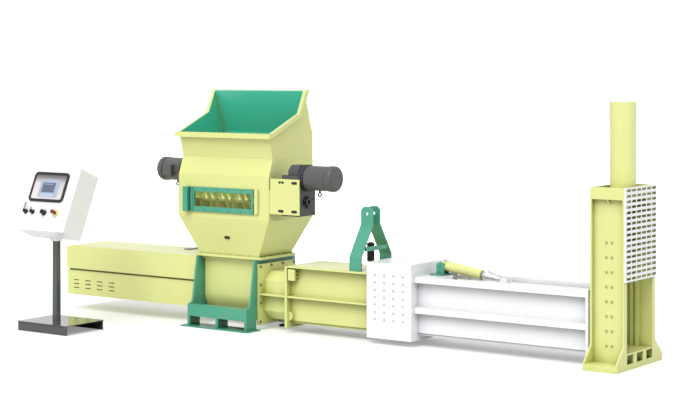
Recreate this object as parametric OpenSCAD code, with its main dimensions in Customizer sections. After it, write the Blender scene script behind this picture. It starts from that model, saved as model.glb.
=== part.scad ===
// Foam compactor line: two-rotor crusher with feed hopper, hydraulic press chamber, compaction
// channel, hydraulic brake channel, guillotine cutting tower and free-standing control console.
// Origin: centre of the crusher stand on the floor. +X is the way the foam travels, -Y is the
// operator's side, +Z is up. All sizes are in millimetres.

/* [Stand under the crusher] */
// Length of the stand along the line, over its end plates
stand_l = 720; // [680:10:780]
// Thickness of the end plates
stand_t = 20; // [12:1:28]
// Half depth of the end plates at the foot
stand_foot_y = 440; // [400:5:500]
// Half depth of the end plates at the top
stand_top_y = 310; // [285:1:340]
// Depth of each foot beam
foot_beam_d = 150; // [110:5:170]
// Top of the foot beams above the floor
foot_beam_top = 210; // [190:5:230]
// Height of the fork openings in the feet
fork_h = 86; // [60:1:100]
// How far the foot plates stand out past the stand
foot_lip = 50; // [40:1:70]
// Thickness of the foot plates
foot_t = 12; // [8:1:20]
// Diameter of the anchor bolt holes
anchor_d = 18; // [14:1:22]

/* [Press chamber] */
// Half width of the foam passage all along the line
bore_y = 190; // [170:5:210]
// Floor of the foam passage at the ram
bore_bottom = 110; // [106:1:120]
// Height of the foam passage at the ram
bore_h = 427; // [400:1:430]
// How far the floor rises along the compaction channel
floor_rise = 27; // [0:1:32]
// Wall of the passage tubes
tube_wall = 12; // [8:1:14]
// Top of the trough
trough_top = 635; // [600:5:650]
// Thickness of the green top frame on the stand
top_frame_t = 24; // [16:1:30]

/* [Crusher and hopper] */
// Width of the crusher along the line
body_w = 1100; // [1000:10:1200]
// Depth of the crusher
body_d = 684; // [640:4:740]
// Sheet thickness of the crusher and hopper
sheet = 8; // [5:1:12]
// Height of the funnel above its flange
funnel_h = 354; // [300:5:400]
// Inner width of the funnel outlet along the line
outlet_w = 700; // [620:10:700]
// Inner depth of the funnel outlet
outlet_d = 490; // [400:10:500]
// Thickness of the funnel flange
flange_t = 25; // [16:1:30]
// Height of the straight crusher walls
crusher_h = 414; // [390:2:440]
// Height of the sloping neck above them
neck_h = 163; // [140:1:190]
// How far the neck leans in
neck_in = 57; // [30:1:80]
// Height of the low front wall of the hopper above the neck
front_h = 235; // [200:5:260]
// Height of the hopper's back edge above the neck
back_h = 640; // [560:5:700]
// Height where the back wall starts to lean forward
lean_h = 231; // [180:1:280]
// How far the back wall leans forward
lean_in = 142; // [100:1:180]
// Width of the rim strip on the hopper's edge
rim_w = 30; // [20:1:40]
// Height of the rim strip
rim_h = 46; // [30:1:60]

/* [Inspection window] */
// Width of the window opening
window_w = 696; // [600:4:740]
// Height of the window opening
window_h = 142; // [120:2:180]
// Width of the door frame bars
door_bar = 30; // [22:1:36]
// Thickness of the door frame
door_t = 12; // [8:1:16]
// Diameter of the hinge pin
hinge_pin_d = 12; // [8:1:16]

/* [Rotors and drives] */
// Distance of each rotor axis from the middle plane
rotor_y = 205; // [200:1:208]
// Height of the rotor axes above the crusher's lower edge
rotor_up = 190; // [180:1:200]
// Diameter of the rotor tube
rotor_tube_d = 96; // [80:2:110]
// Radius to the tips of the teeth
tooth_r = 118; // [108:1:122]
// Spacing of the teeth along a rotor
tooth_pitch = 205; // [180:5:230]
// Diameter of the shaft ends
shaft_d = 60; // [50:1:70]
// Depth of the gearbox along the shaft
gearbox_l = 195; // [185:1:240]
// Width of the gearbox across the shaft
gearbox_w = 250; // [220:2:256]
// Height from the output shaft up to the motor axis
motor_up = 222; // [200:1:240]
// Diameter of the motor body
motor_d = 230; // [190:2:230]
// Length of the motor body
motor_l = 236; // [220:2:300]
// Length of the fan cowl
cowl_l = 71; // [60:1:120]

/* [Ram housing] */
// Length of the ram housing
housing_l = 1755; // [1700:5:1900]
// Half depth of the housing's cover
housing_y = 289; // [270:1:300]
// Underside of the housing
housing_bottom = 159; // [150:1:180]
// Height of the lower tray
tray_h = 266; // [240:1:280]
// Height of the cover
cover_h = 236; // [200:1:250]
// How far the tray is set back under the cover
tray_in = 18; // [10:1:26]
// Sheet thickness of the housing
housing_sheet = 5; // [3:1:8]
// Outer diameter of the main cylinder
ram_cyl_d = 194; // [160:2:220]
// Diameter of the main piston rod
ram_rod_d = 100; // [80:2:120]
// Stroke of the main ram
ram_stroke = 560; // [500:10:600]

/* [Compaction channel] */
// Thickness of the flange plates
plate_t = 25; // [16:1:30]
// Half depth of the flange plates
plate_y = 277; // [276:1:290]
// Lower edge of the flange plates
plate_bottom = 52; // [45:1:70]
// Upper edge of the flange plates
plate_top = 622; // [610:1:628]
// Length of the tube between the flange plates
neck_tube_l = 299; // [260:1:340]
// Length of the yellow compaction channel
channel_l = 927; // [860:1:1000]
// Half width of both channels over their ribs
rib_y = 273; // [255:1:275]
// Top of both channels
channel_top = 629; // [620:1:640]
// Underside of both channels
channel_bottom = 91; // [88:1:100]
// Thickness of the ribs on the compaction channel
rib_t = 18; // [14:1:30]
// Width of the press frame along the line
press_frame_w = 130; // [100:5:160]
// Height of the press frame's pin above the channel
press_pin_up = 505; // [450:5:540]
// Diameter of the press frame's pin hole
press_pin_d = 28; // [20:1:34]

/* [Jaw and brake channel] */
// Length of the jaw housing
jaw_l = 474; // [440:2:520]
// Half depth of the jaw housing
jaw_y = 313; // [300:1:330]
// Lower edge of the jaw housing
jaw_bottom = 55; // [50:1:70]
// Upper edge of the jaw housing
jaw_top = 731; // [700:1:760]
// Plate thickness of the jaw housing
jaw_t = 20; // [14:1:24]
// Length of the white brake channel
brake_l = 1691; // [1650:1:1800]
// Thickness of the ribs on the brake channel
brake_rib_t = 55; // [40:1:60]
// Thickness of the brake flap
flap_t = 22; // [16:1:26]
// Diameter of the clamp cylinder
clamp_d = 90; // [76:2:96]
// Diameter of the clamp cylinder's rod
clamp_rod_d = 45; // [36:1:50]
// Diameter of the clamp cylinder's pins
clamp_pin_d = 25; // [18:1:28]

/* [Cutting tower] */
// Width of the tower along the line
tower_w = 308; // [290:2:340]
// Half depth of the tower
tower_y = 292; // [290:1:310]
// Height of the tower's frame
tower_h = 1491; // [1450:1:1560]
// Height of the top beam
beam_h = 100; // [80:1:120]
// Thickness of the two portal plates
portal_t = 15; // [12:1:24]
// Depth of the tower's recessed sides
column_d = 60; // [50:1:66]
// Half depth of the tower's feet
tower_foot_y = 426; // [400:1:460]
// Outer diameter of the cutting cylinder
cut_cyl_d = 218; // [200:2:240]
// Height of the cutting cylinder
cut_cyl_h = 694; // [660:2:760]
// Thickness of the knife
knife_t = 16; // [10:1:18]
// Lower edge of the mesh guard
guard_bottom = 722; // [700:1:760]
// Spacing of the slot rows in the guard
guard_pitch = 45; // [40:1:50]

/* [Console] */
// Width of the console's box
console_w = 612; // [560:4:640]
// Height of the console's box along its tilt
console_h = 628; // [600:4:660]
// Depth of the console's box
console_d = 251; // [220:1:280]
// How far the box leans back, in degrees
console_tilt = 23; // [18:1:28]
// Width of the square pole
pole_w = 54; // [40:1:70]
// Length of the console's foot along the line
console_foot_w = 634; // [600:2:680]
// Depth of the console's foot
console_foot_d = 483; // [460:1:520]
// Height of the console's foot
console_foot_h = 84; // [60:1:90]

/* [Hidden] */

$fn = 48;
eps = 1;                  // overshoot of a cut past the face it opens
run = 0.05;               // radial clearance of a running fit
gap = 2;                  // clearance beside a sliding or swinging piece

yellow = "#E6E99A";
green = "#3FB28C";
white = "#F4F5F7";
grey = "#606163";
dark = "#2A2B2D";
steel = "#B9BCC0";

stand_x = stand_l / 2;                        // outer face of the stand's end plates
trough_y = bore_y + tube_wall;                // outer half width of the trough and tubes
trough_r = bore_y;                            // the trough's bottom is a half circle
wall_y = trough_y + 10;                       // outer face of the channels' side plates
base_y = bore_y + 6;                          // outer half width of the channels' narrow base
base_h = 24;                                  // height of that base
mid_rib_z = 332;                              // underside of the rib halfway up the channel
bore_top = bore_bottom + bore_h;
bore_mid = bore_bottom + bore_h / 2;
floor_z = bore_bottom + floor_rise;           // floor of the passage past the channel
tube_bottom = bore_bottom - tube_wall;
tube_top = bore_top + tube_wall;
flange_z = trough_top + top_frame_t;          // underside of the funnel's flange
funnel_z = flange_z + flange_t;
crusher_z = funnel_z + funnel_h;
neck_z = crusher_z + crusher_h;
hopper_z = neck_z + neck_h;
body_x = body_w / 2;
body_y = body_d / 2;
rotor_z = crusher_z + rotor_up;

plate1_x = stand_x;
neck_x = plate1_x + plate_t;
plate2_x = neck_x + neck_tube_l;
channel_x = plate2_x + plate_t;
jaw_x = channel_x + channel_l;
brake_x = jaw_x + jaw_l;
end_x = brake_x + brake_l;
inlet_t = 26;                                 // thickness of the tower's inlet flange
tower_x = end_x + plate_t + inlet_t;
tower_x1 = tower_x + tower_w;
tower_mid = tower_x + tower_w / 2;
column_y = tower_y - column_d;                // inner face of the tower's sides

// A box from its lowest corner to its highest corner
module block(a, b) {
    translate(a) cube(b - a);
}

// A profile in the Y-Z plane, extruded along X from x0 to x1
module along_x(x0, x1) {
    translate([x0, 0, 0]) rotate([90, 0, 90]) linear_extrude(x1 - x0) children();
}

// A profile in the X-Z plane, extruded along Y from y0 to y1
module along_y(y0, y1) {
    translate([0, y1, 0]) rotate([90, 0, 0]) linear_extrude(y1 - y0) children();
}

// A cylinder along X from x0 to x1
module rod_x(x0, x1, d) {
    translate([x0, 0, 0]) rotate([0, 90, 0]) cylinder(d = d, h = x1 - x0);
}

// A cylinder along Y from y0 to y1
module rod_y(y0, y1, d) {
    translate([0, y0, 0]) rotate([-90, 0, 0]) cylinder(d = d, h = y1 - y0);
}

// The same piece on both sides of the middle plane
module both_sides() {
    children();
    mirror([0, 1, 0]) children();
}

// Rectangle centred in the first direction, from z0 to z1
module band(half, z0, z1) {
    translate([-half, z0]) square([2 * half, z1 - z0]);
}

// ---------------------------------------------------------------- stand

// U-shaped section with round lower corners, open at the top
module u_section(half, bottom, top, r) {
    for (side = [-1, 1]) translate([side * (half - r), bottom + r]) circle(r);
    if (half > r) band(half - r, bottom, bottom + r);
    band(half, bottom + r, top);
}

// Plate across the line on its two feet, open for the passage
module stand_plate() {
    foot_in = stand_foot_y - foot_beam_d;
    difference() {
        polygon([
            [-stand_foot_y, foot_t], [-stand_foot_y, foot_beam_top],
            [-stand_foot_y + 50, foot_beam_top + 18], [-stand_foot_y + 64, foot_beam_top + 40],
            [-stand_top_y, flange_z], [stand_top_y, flange_z],
            [stand_foot_y - 64, foot_beam_top + 40], [stand_foot_y - 50, foot_beam_top + 18],
            [stand_foot_y, foot_beam_top], [stand_foot_y, foot_t],
            [foot_in, foot_t], [foot_in, foot_t + fork_h],
            [-foot_in, foot_t + fork_h], [-foot_in, foot_t]
        ]);
        u_section(bore_y, bore_bottom, bore_top, trough_r);
    }
}

module stand_plates() {
    color(green) {
        along_x(-stand_x, -stand_x + stand_t) stand_plate();
        along_x(stand_x - stand_t, stand_x) stand_plate();
    }
}

// Box beam across the stand with a middle post under it
beam_wall = 10;
post_t = 30;
beam_top_d = 70;          // depth of the beam itself
pocket_wall = 8;          // side walls of the fork pockets

module foot_beam() {
    x = stand_x - stand_t;
    y0 = -stand_foot_y;
    y1 = y0 + foot_beam_d;
    z0 = foot_t + fork_h;
    difference() {
        block([-x, y0, z0], [x, y0 + beam_top_d, foot_beam_top]);
        block([-x - eps, y0 + beam_wall, z0 + beam_wall],
              [x + eps, y0 + beam_top_d - beam_wall, foot_beam_top - beam_wall]);
    }
    block([-x, y0, z0], [x, y1, z0 + beam_wall]);
    for (x0 = [-x, x - pocket_wall]) block([x0, y0, foot_t], [x0 + pocket_wall, y1, z0]);
    block([-post_t / 2, y0, foot_t], [post_t / 2, y1, z0]);
}

module foot_beams() {
    color(green) both_sides() foot_beam();
}

anchor_x = stand_x + 15;                      // anchor holes from the centre, along the line
anchor_y = stand_foot_y + foot_lip / 2;       // anchor holes from the centre, across the line

module foot_plates() {
    color(green) both_sides() difference() {
        block([-stand_x - foot_lip, -stand_foot_y - foot_lip, 0],
              [stand_x + foot_lip, -stand_foot_y + foot_beam_d, foot_t]);
        for (side = [-1, 1]) translate([side * anchor_x, -anchor_y, -eps])
            cylinder(d = anchor_d, h = foot_t + 2 * eps);
    }
}

module stand_top_frame() {
    x = stand_x - stand_t;
    color(yellow) difference() {
        block([-x, -trough_y - 40, trough_top], [x, trough_y + 40, flange_z]);
        block([-outlet_w / 2 + 30, -bore_y, trough_top - eps],
              [outlet_w / 2 - 30, bore_y, flange_z + eps]);
    }
}

module press_trough() {
    x = stand_x - stand_t;
    color(yellow) along_x(-x, x) difference() {
        u_section(trough_y, tube_bottom, trough_top, trough_r + tube_wall);
        u_section(bore_y, bore_bottom, trough_top + eps, trough_r);
    }
}

// ---------------------------------------------------------------- crusher and hopper

// Thin slab used as one end of a tapered shell
module slab(half_x, half_y, z) {
    block([-half_x, -half_y, z - 0.5], [half_x, half_y, z + 0.5]);
}

module funnel() {
    ox = outlet_w / 2;
    oy = outlet_d / 2;
    color(yellow) difference() {
        union() {
            hull() {
                block([-ox - sheet, -oy - sheet, funnel_z], [ox + sheet, oy + sheet, funnel_z + 1]);
                block([-body_x, -body_y, crusher_z - 1], [body_x, body_y, crusher_z]);
            }
            block([-ox - 47, -oy - 26, flange_z], [ox + 47, oy + 26, funnel_z]);
        }
        hull() {
            slab(ox, oy, funnel_z);
            slab(body_x - sheet, body_y - sheet, crusher_z + 0.5);
        }
        block([-ox, -oy, flange_z - eps], [ox, oy, funnel_z + eps]);
        block([-18, -body_y, funnel_z + 160], [44, 0, funnel_z + 182]);
    }
}

// Side view of the crusher: straight walls with a neck that leans in at the front
module crusher_profile(t, over) {
    polygon([
        [-body_y + t, crusher_z - over], [-body_y + t, neck_z],
        [-body_y + neck_in + t, hopper_z + over],
        [body_y - t, hopper_z + over], [body_y - t, crusher_z - over]
    ]);
}

window_z = rotor_z - window_h / 2 - 14;       // lower edge of the window

module crusher_box() {
    color(yellow) {
        difference() {
            along_x(-body_x, body_x) crusher_profile(0, 0);
            along_x(-body_x + sheet, body_x - sheet) crusher_profile(sheet, eps);
            block([-window_w / 2, -body_y - eps, window_z],
                  [window_w / 2, -body_y + sheet + eps, window_z + window_h]);
            for (side = [-1, 1]) translate([0, side * rotor_y, rotor_z])
                rod_x(-body_x - eps, body_x + eps, shaft_d + 10);
        }
        // stop strip beside the window door and the breaker bar between the rotors
        block([window_w / 2 + door_bar + 12, -body_y - 20, window_z - 45],
              [window_w / 2 + door_bar + 50, -body_y, window_z + window_h + 45]);
        along_x(-body_x + sheet, body_x - sheet)
            polygon([[-40, rotor_z - 70], [40, rotor_z - 70], [12, rotor_z + 60], [-12, rotor_z + 60]]);
    }
}

kink_y = 98;                                  // where the side plates' edge turns steep
kink_up = 420;
hopper_top_y = body_y - lean_in;

module hopper() {
    front_y = -body_y;
    color(yellow) difference() {
        along_x(-body_x, body_x) polygon([
            [front_y + neck_in, hopper_z], [front_y, hopper_z + front_h],
            [kink_y, hopper_z + kink_up], [hopper_top_y, hopper_z + back_h],
            [body_y, hopper_z + lean_h], [body_y, hopper_z]
        ]);
        along_x(-body_x + sheet, body_x - sheet) polygon([
            [front_y + neck_in + sheet, hopper_z - eps], [front_y + sheet, hopper_z + front_h],
            [front_y + sheet, hopper_z + back_h + eps], [hopper_top_y - sheet, hopper_z + back_h + eps],
            [body_y - sheet, hopper_z + lean_h - sheet], [body_y - sheet, hopper_z - eps]
        ]);
    }
}

// Strip on the edge of a side plate, as a band of even width below the edge
module rim_band() {
    f = [-body_y, hopper_z + front_h];
    k = [kink_y, hopper_z + kink_up];
    t = [hopper_top_y, hopper_z + back_h];
    polygon([f, k, t, t + [rim_h, 0], k + [rim_h * 0.75, -rim_h * 0.7], f + [0, -rim_h]]);
}

module hopper_rim() {
    color(yellow) {
        along_x(-body_x - rim_w, -body_x) rim_band();
        along_x(body_x, body_x + rim_w) rim_band();
        block([-body_x - rim_w, -body_y - rim_w, hopper_z + front_h - rim_h],
              [body_x + rim_w, -body_y, hopper_z + front_h + 4]);
    }
}

// ---------------------------------------------------------------- inspection window

door_y = -body_y - gap - door_t;              // front face of the door
door_x = window_w / 2 + door_bar - 6;         // half width of the door
door_z0 = window_z - door_bar - 20;
door_z1 = window_z + window_h + door_bar + 13;
knuckle_r = hinge_pin_d / 2 + 6;              // outer radius of the door's hinge knuckle
hinge_x = -door_x - knuckle_r;                // hinge axis of the door
hinge_y = -body_y - knuckle_r - gap;
cheek_w = 58;                                 // width of the hinge cheek
cheek_d = 60;                                 // how far the hinge cheek stands out
ear_h = 30;                                   // height of the hinge's ears

module window_hinge() {
    x1 = hinge_x - knuckle_r - gap;
    ear = knuckle_r - gap;
    color(green) {
        block([x1 - cheek_w, -body_y - cheek_d, door_z0], [x1, -body_y, door_z1]);
        for (z = [door_z0, door_z1 - ear_h]) {
            block([x1 - eps, hinge_y, z], [hinge_x + ear, -body_y, z + ear_h]);
            translate([hinge_x, hinge_y, z]) cylinder(r = ear, h = ear_h);
        }
        translate([hinge_x, hinge_y, door_z0]) cylinder(d = hinge_pin_d, h = door_z1 - door_z0);
    }
}

module window_door() {
    z0 = door_z0 + ear_h + gap;
    z1 = door_z1 - ear_h - gap;
    color(green) {
        difference() {
            union() {
                block([-door_x, door_y, door_z0], [door_x, door_y + door_t, door_z1]);
                translate([hinge_x, hinge_y, z0]) cylinder(r = knuckle_r, h = z1 - z0);
                block([hinge_x, door_y, z0], [-door_x, door_y + door_t, z1]);
            }
            block([-window_w / 2, door_y - eps, window_z],
                  [window_w / 2, door_y + door_t + eps, window_z + window_h]);
            translate([hinge_x, hinge_y, z0 - eps])
                cylinder(d = hinge_pin_d + 2 * run, h = z1 - z0 + 2 * eps);
        }
        block([door_x, door_y, window_z + 50], [door_x + 10, door_y + 8, window_z + 106]);
    }
}

module window_pane() {
    color([0.8, 0.9, 0.9, 0.4])
        block([-window_w / 2, door_y + 4, window_z], [window_w / 2, door_y + 8, window_z + window_h]);
}

// ---------------------------------------------------------------- rotors and drives

shaft_x0 = -body_x - 44;                      // free end of the front rotor's shaft
gear_x0 = body_x + 140;                       // gearbox face towards the crusher
gear_x1 = gear_x0 + gearbox_l;
motor_z = rotor_z + motor_up;
hub_d = 76;                                   // hollow shaft end that turns with the rotor
hub_out = 28;                                 // how far it stands out of the gearbox
tooth_n = 5;                                  // rings of teeth on a rotor
tooth_t = 22;
tooth_w = 84;
tooth_lean = 35;                              // degrees between a tooth and the ring's plane

// The front rotor; the rear one is the same piece turned end for end
module rotor() {
    x0 = -body_x + sheet + 12;
    rod_x(shaft_x0, gear_x1 + hub_out - 24, shaft_d);
    difference() {
        rod_x(gear_x1 - 16, gear_x1 + hub_out, hub_d);
        rod_x(gear_x1 + hub_out - 24, gear_x1 + hub_out + eps, hub_d - 34);
    }
    rod_x(x0, -x0, rotor_tube_d);
    for (i = [0 : tooth_n - 1], k = [0 : 2]) translate([(i - (tooth_n - 1) / 2) * tooth_pitch, 0, 0])
        for (side = [-1, 1]) rotate([k * 120 + 75, 0, 0])
            translate([side * 38, 0, 0]) rotate([0, 0, tooth_lean])
                block([-tooth_t / 2, -tooth_w / 2, 0], [tooth_t / 2, tooth_w / 2, tooth_r - 8]);
}

// Places a piece of the front drive, turned half a turn round the hopper's middle for the rear one
module rear_side() {
    rotate([0, 0, 180]) children();
}

module rotor_front() {
    color(yellow) translate([0, -rotor_y, rotor_z]) rotor();
}

module rotor_rear() {
    rear_side() rotor_front();
}

module end_bearing() {
    translate([0, -rotor_y, rotor_z]) difference() {
        union() {
            along_x(-body_x - 14, -body_x) square([150, 150], center = true);
            rod_x(-body_x - 34, -body_x, 110);
        }
        rod_x(-body_x - 34 - eps, -body_x + eps, shaft_d + 2 * run);
    }
}

module end_bearings() {
    color(grey) {
        end_bearing();
        rear_side() end_bearing();
    }
}

plate_back = -rotor_y - gearbox_w / 2;        // front face of the gearbox
slot_l = 62;
slot_w = 18;

// Plate that carries the gearbox, slotted for its bolts, with a foot along the crusher's side
module torque_plate() {
    difference() {
        block([body_x, plate_back - 10, rotor_z - 120], [gear_x1 + 16, plate_back, rotor_z + 211]);
        for (x = [gear_x0 - 2, gear_x1 - 42], z = [-84, 180]) translate([x, 0, rotor_z + z]) hull() {
            rod_x_slot(-slot_l / 2 + slot_w / 2);
            rod_x_slot(slot_l / 2 - slot_w / 2);
        }
        block([body_x - eps, plate_back - 10 - eps, rotor_z + 104],
              [body_x + 14, plate_back + eps, rotor_z + 212]);
    }
    block([body_x, plate_back, rotor_z - 120], [body_x + 10, plate_back + 40, rotor_z + 211]);
}

module rod_x_slot(x) {
    translate([x, 0, 0]) rod_y(plate_back - 10 - eps, plate_back + eps, slot_w);
}

module torque_plates() {
    color(yellow) {
        torque_plate();
        rear_side() torque_plate();
    }
}

// Parallel-shaft gearbox with a hollow output shaft
module gearbox() {
    w = gearbox_w / 2;
    ring_x = gear_x0 + 176;                   // left face of the motor's adapter ring
    translate([0, -rotor_y, 0]) difference() {
        union() {
            block([gear_x0, -w, rotor_z - 132], [gear_x1, w + 12, rotor_z + 214]);
            block([gear_x0, -w, rotor_z + 213], [ring_x, w - 30, rotor_z + 246]);
            along_x(gear_x0 + 65, ring_x)
                tube_section(motor_d / 2 - 5, rotor_z + 200, motor_z + motor_d / 2 + 4, 50);
            translate([0, 0, motor_z]) rod_x(ring_x, gear_x1 + 39, motor_d + 16);
            translate([0, 0, rotor_z]) rod_x(body_x + 30, gear_x0, 120);
        }
        translate([0, 0, rotor_z]) {
            rod_x(body_x, gear_x1 + eps, shaft_d + 2 * run);
            rod_x(gear_x1 - 18, gear_x1 + eps, hub_d + 34);
        }
    }
}

module gearbox_right() {
    color(grey) gearbox();
}

module gearbox_left() {
    color(grey) rear_side() gearbox();
}

motor_x0 = gear_x1 + 39;
motor_x1 = motor_x0 + motor_l;

// Smooth motor body with its lifting eye and terminal box
module motor() {
    translate([0, -rotor_y, motor_z]) {
        rod_x(motor_x0, motor_x1 - 7, motor_d);
        rod_x(motor_x1 - 8, motor_x1, motor_d - 12);
        translate([motor_x0 + 114, 0, -motor_d / 2 - 34]) difference() {
            union() {
                rod_y(-6, 6, 44);
                block([-8, -6, 0], [8, 6, 60]);
            }
            rod_y(-7, 7, 24);
        }
        block([motor_x0 + 70, motor_d / 2 - 20, -60], [motor_x0 + 180, motor_d / 2 + 44, 50]);
    }
}

module motor_right() {
    color(grey) motor();
}

module motor_left() {
    color(grey) rear_side() motor();
}

// Fan cowl with a rounded end
module fan_cowl() {
    r = motor_d / 2 + 5;
    n = 28;                                   // round of the cowl's edge
    translate([motor_x1, -rotor_y, motor_z]) rotate([0, 90, 0]) rotate_extrude() {
        square([r, cowl_l - n]);
        square([r - n, cowl_l]);
        translate([r - n, cowl_l - n]) intersection() {
            circle(n);
            square(n);
        }
    }
}

module fan_cowl_right() {
    color(grey) fan_cowl();
}

module fan_cowl_left() {
    color(grey) rear_side() fan_cowl();
}

// ---------------------------------------------------------------- ram housing

housing_x0 = -stand_x - housing_l;
cover_z = housing_bottom + tray_h;
housing_top = cover_z + cover_h - 4;
tray_y = housing_y - tray_in;
groove_h = 20;            // height of the groove between tray and cover
groove_in = 25;           // depth of that groove

module housing_tray() {
    s = housing_sheet;
    x0 = housing_x0;
    g = groove_in;
    z1 = cover_z - groove_h;
    color(yellow) difference() {
        union() {
            block([x0, -tray_y, housing_bottom], [-stand_x, tray_y, z1]);
            block([x0 + g, -tray_y + g, z1 - s], [-stand_x, tray_y - g, cover_z]);
        }
        block([x0 + s, -tray_y + s, housing_bottom + s], [-stand_x - s, tray_y - s, z1 - s]);
        block([x0 + g + s, -tray_y + g + s, z1 - s - eps], [-stand_x - s, tray_y - g - s, cover_z + eps]);
        for (i = [0 : 3], k = [0 : 2])
            translate([x0 + 87 + i * 162, 0, housing_bottom + 66 + k * 39])
                block([0, -tray_y - eps, 0], [70, -tray_y + s + eps, 15]);
        translate([0, 0, bore_mid]) rod_x(-stand_x - s - eps, -stand_x + eps, ram_rod_d + 12);
    }
}

module housing_cover() {
    s = housing_sheet;
    z0 = cover_z;
    r = 44;                                   // round of the cover's end
    rest = tray_in + groove_in + 2 * s;       // width of the flange that rests on the tray
    color(yellow) difference() {
        along_y(-housing_y, housing_y) {
            translate([housing_x0, z0]) square([housing_l, housing_top - z0 - r]);
            translate([housing_x0 + r, z0]) square([housing_l - r, housing_top - z0]);
            translate([housing_x0 + r, housing_top - r]) circle(r);
        }
        along_y(-housing_y + s, housing_y - s) {
            translate([housing_x0 + s, z0 + s]) square([housing_l - 2 * s, housing_top - r - z0 - s]);
            translate([housing_x0 + r, z0 + s]) square([housing_l - r - s, housing_top - z0 - 2 * s]);
            translate([housing_x0 + r, housing_top - r]) circle(r - s);
        }
        block([housing_x0 + rest, -housing_y + rest, z0 - eps], [-stand_x - s, housing_y - rest, z0 + s + eps]);
    }
    color(dark) block([-850, 80, housing_top], [-770, 270, housing_top + 8]);
}

cyl_x0 = housing_x0 + 40;
piston_x = cyl_x0 + 40;
piston_t = 80;
cyl_x1 = piston_x + piston_t + ram_stroke + 60;

module main_cylinder() {
    color(grey) {
        difference() {
            translate([0, 0, bore_mid]) rod_x(cyl_x0, cyl_x1, ram_cyl_d);
            translate([0, 0, bore_mid]) rod_x(cyl_x0 + 30, cyl_x1 - 50, ram_cyl_d - 34);
            translate([0, 0, bore_mid]) rod_x(cyl_x1 - 51, cyl_x1 + eps, ram_rod_d + 2 * run);
        }
        for (x = [cyl_x0 + 60, cyl_x1 - 140]) difference() {
            block([x, -110, housing_bottom + housing_sheet], [x + 60, 110, bore_mid]);
            translate([0, 0, bore_mid]) rod_x(x - eps, x + 60 + eps, ram_cyl_d);
        }
    }
}

module main_ram() {
    head_x = -stand_x + stand_t;
    color(steel) translate([0, 0, bore_mid]) {
        rod_x(piston_x, piston_x + piston_t, ram_cyl_d - 34 - 2 * run);
        rod_x(piston_x, head_x - stand_t + 4, ram_rod_d);
    }
    color(yellow) along_x(head_x - stand_t + 4, head_x)
        u_section(bore_y - gap, bore_bottom + gap, bore_top - gap, trough_r - gap);
}

// ---------------------------------------------------------------- neck and compaction channel

neck_bevel = 80;                              // bevel of the passage in the neck

// Closed passage section with bevelled corners
module tube_section(half, bottom, top, bevel) {
    polygon([
        [-half, bottom + bevel], [-half, top - bevel], [-half + bevel, top], [half - bevel, top],
        [half, top - bevel], [half, bottom + bevel], [half - bevel, bottom], [-half + bevel, bottom]
    ]);
}

// Hexagon bolt head on a face that looks along +X
module bolt_x(d) {
    rotate([0, 90, 0]) cylinder(d = d, h = d * 0.45, $fn = 6);
}

module flange_plate() {
    color(yellow) {
        along_x(plate1_x, neck_x) difference() {
            band(plate_y, plate_bottom, plate_top);
            tube_section(bore_y, bore_bottom, bore_top, neck_bevel);
        }
        for (side = [-1, 1], z = [81, 258, 430, 600]) translate([neck_x, side * 262, z]) bolt_x(24);
        for (y = [-95, 85]) translate([neck_x, y, 602]) bolt_x(24);
    }
}

module neck_tube() {
    color(yellow) along_x(neck_x, plate2_x) difference() {
        union() {
            tube_section(trough_y, tube_bottom, tube_top, neck_bevel + 4);
            band(rib_y - 2, mid_rib_z, mid_rib_z + rib_t);
        }
        tube_section(bore_y, bore_bottom, bore_top, neck_bevel);
    }
}

module channel_plate() {
    color(yellow) along_x(plate2_x, channel_x) difference() {
        band(plate_y, plate_bottom, plate_top);
        tube_section(bore_y, bore_bottom, bore_top, neck_bevel);
    }
}

// Levelling foot under the first flange plate
module neck_foot() {
    color(dark) {
        block([plate1_x + 14, 45, 0], [plate1_x + 64, 145, 20]);
        translate([plate1_x + 20, 130, 19]) cylinder(d = 10, h = plate_bottom - 19);
    }
}

// Side view of the foam passage: its floor rises between x0 and x1
module passage(x0, x1, z0, z1) {
    along_y(-bore_y, bore_y) polygon([
        [x0 - eps, z0], [x1 + eps, z1], [x1 + eps, bore_top], [x0 - eps, bore_top]
    ]);
}

stem_x = jaw_x - 170;                         // centre line of the press frame
stem_d = 40;
stem_plate_y = 150;
stem_plate_l = 90;

module channel() {
    x1 = jaw_x;
    roof = bore_top + tube_wall;
    color(yellow) difference() {
        union() {
            block([channel_x, -base_y, channel_bottom], [x1, base_y, channel_bottom + base_h]);
            block([channel_x, -wall_y, channel_bottom + base_h], [x1, wall_y, channel_top - rib_t]);
            block([channel_x, -rib_y, mid_rib_z], [x1, rib_y, mid_rib_z + rib_t]);
            block([channel_x, -rib_y, channel_top - rib_t], [x1, rib_y, channel_top]);
        }
        passage(channel_x, x1, bore_bottom, floor_z);
        block([channel_x - eps, -bore_y, roof], [x1 + eps, bore_y, channel_top - rib_t]);
        block([stem_x - stem_plate_l - gap, -stem_plate_y - gap, bore_top - eps],
              [stem_x + stem_plate_l + gap, stem_plate_y + gap, roof + eps]);
        translate([stem_x, 0, channel_top - rib_t - eps]) cylinder(d = stem_d + 2 * run, h = rib_t + 2 * eps);
    }
}

module sensor_box() {
    x0 = channel_x + 8;
    x1 = x0 + 78;
    boss_d = 88;
    color(yellow) {
        block([x0, -271, 494], [x1, -wall_y, 599]);
        difference() {
            translate([channel_x - 3, 0, 160]) rod_y(-wall_y - 35, -wall_y, boss_d);
            block([channel_x - boss_d, -wall_y - 36, 160 - boss_d], [channel_x, -wall_y + eps, 160 + boss_d]);
        }
    }
    color(dark) for (z = [514, 546, 578]) translate([x1, -240, z]) bolt_x(16);
}

frame_t = 14;                                 // plate thickness of the press frame
frame_y = 250;
frame_neck_y = 65;

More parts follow.
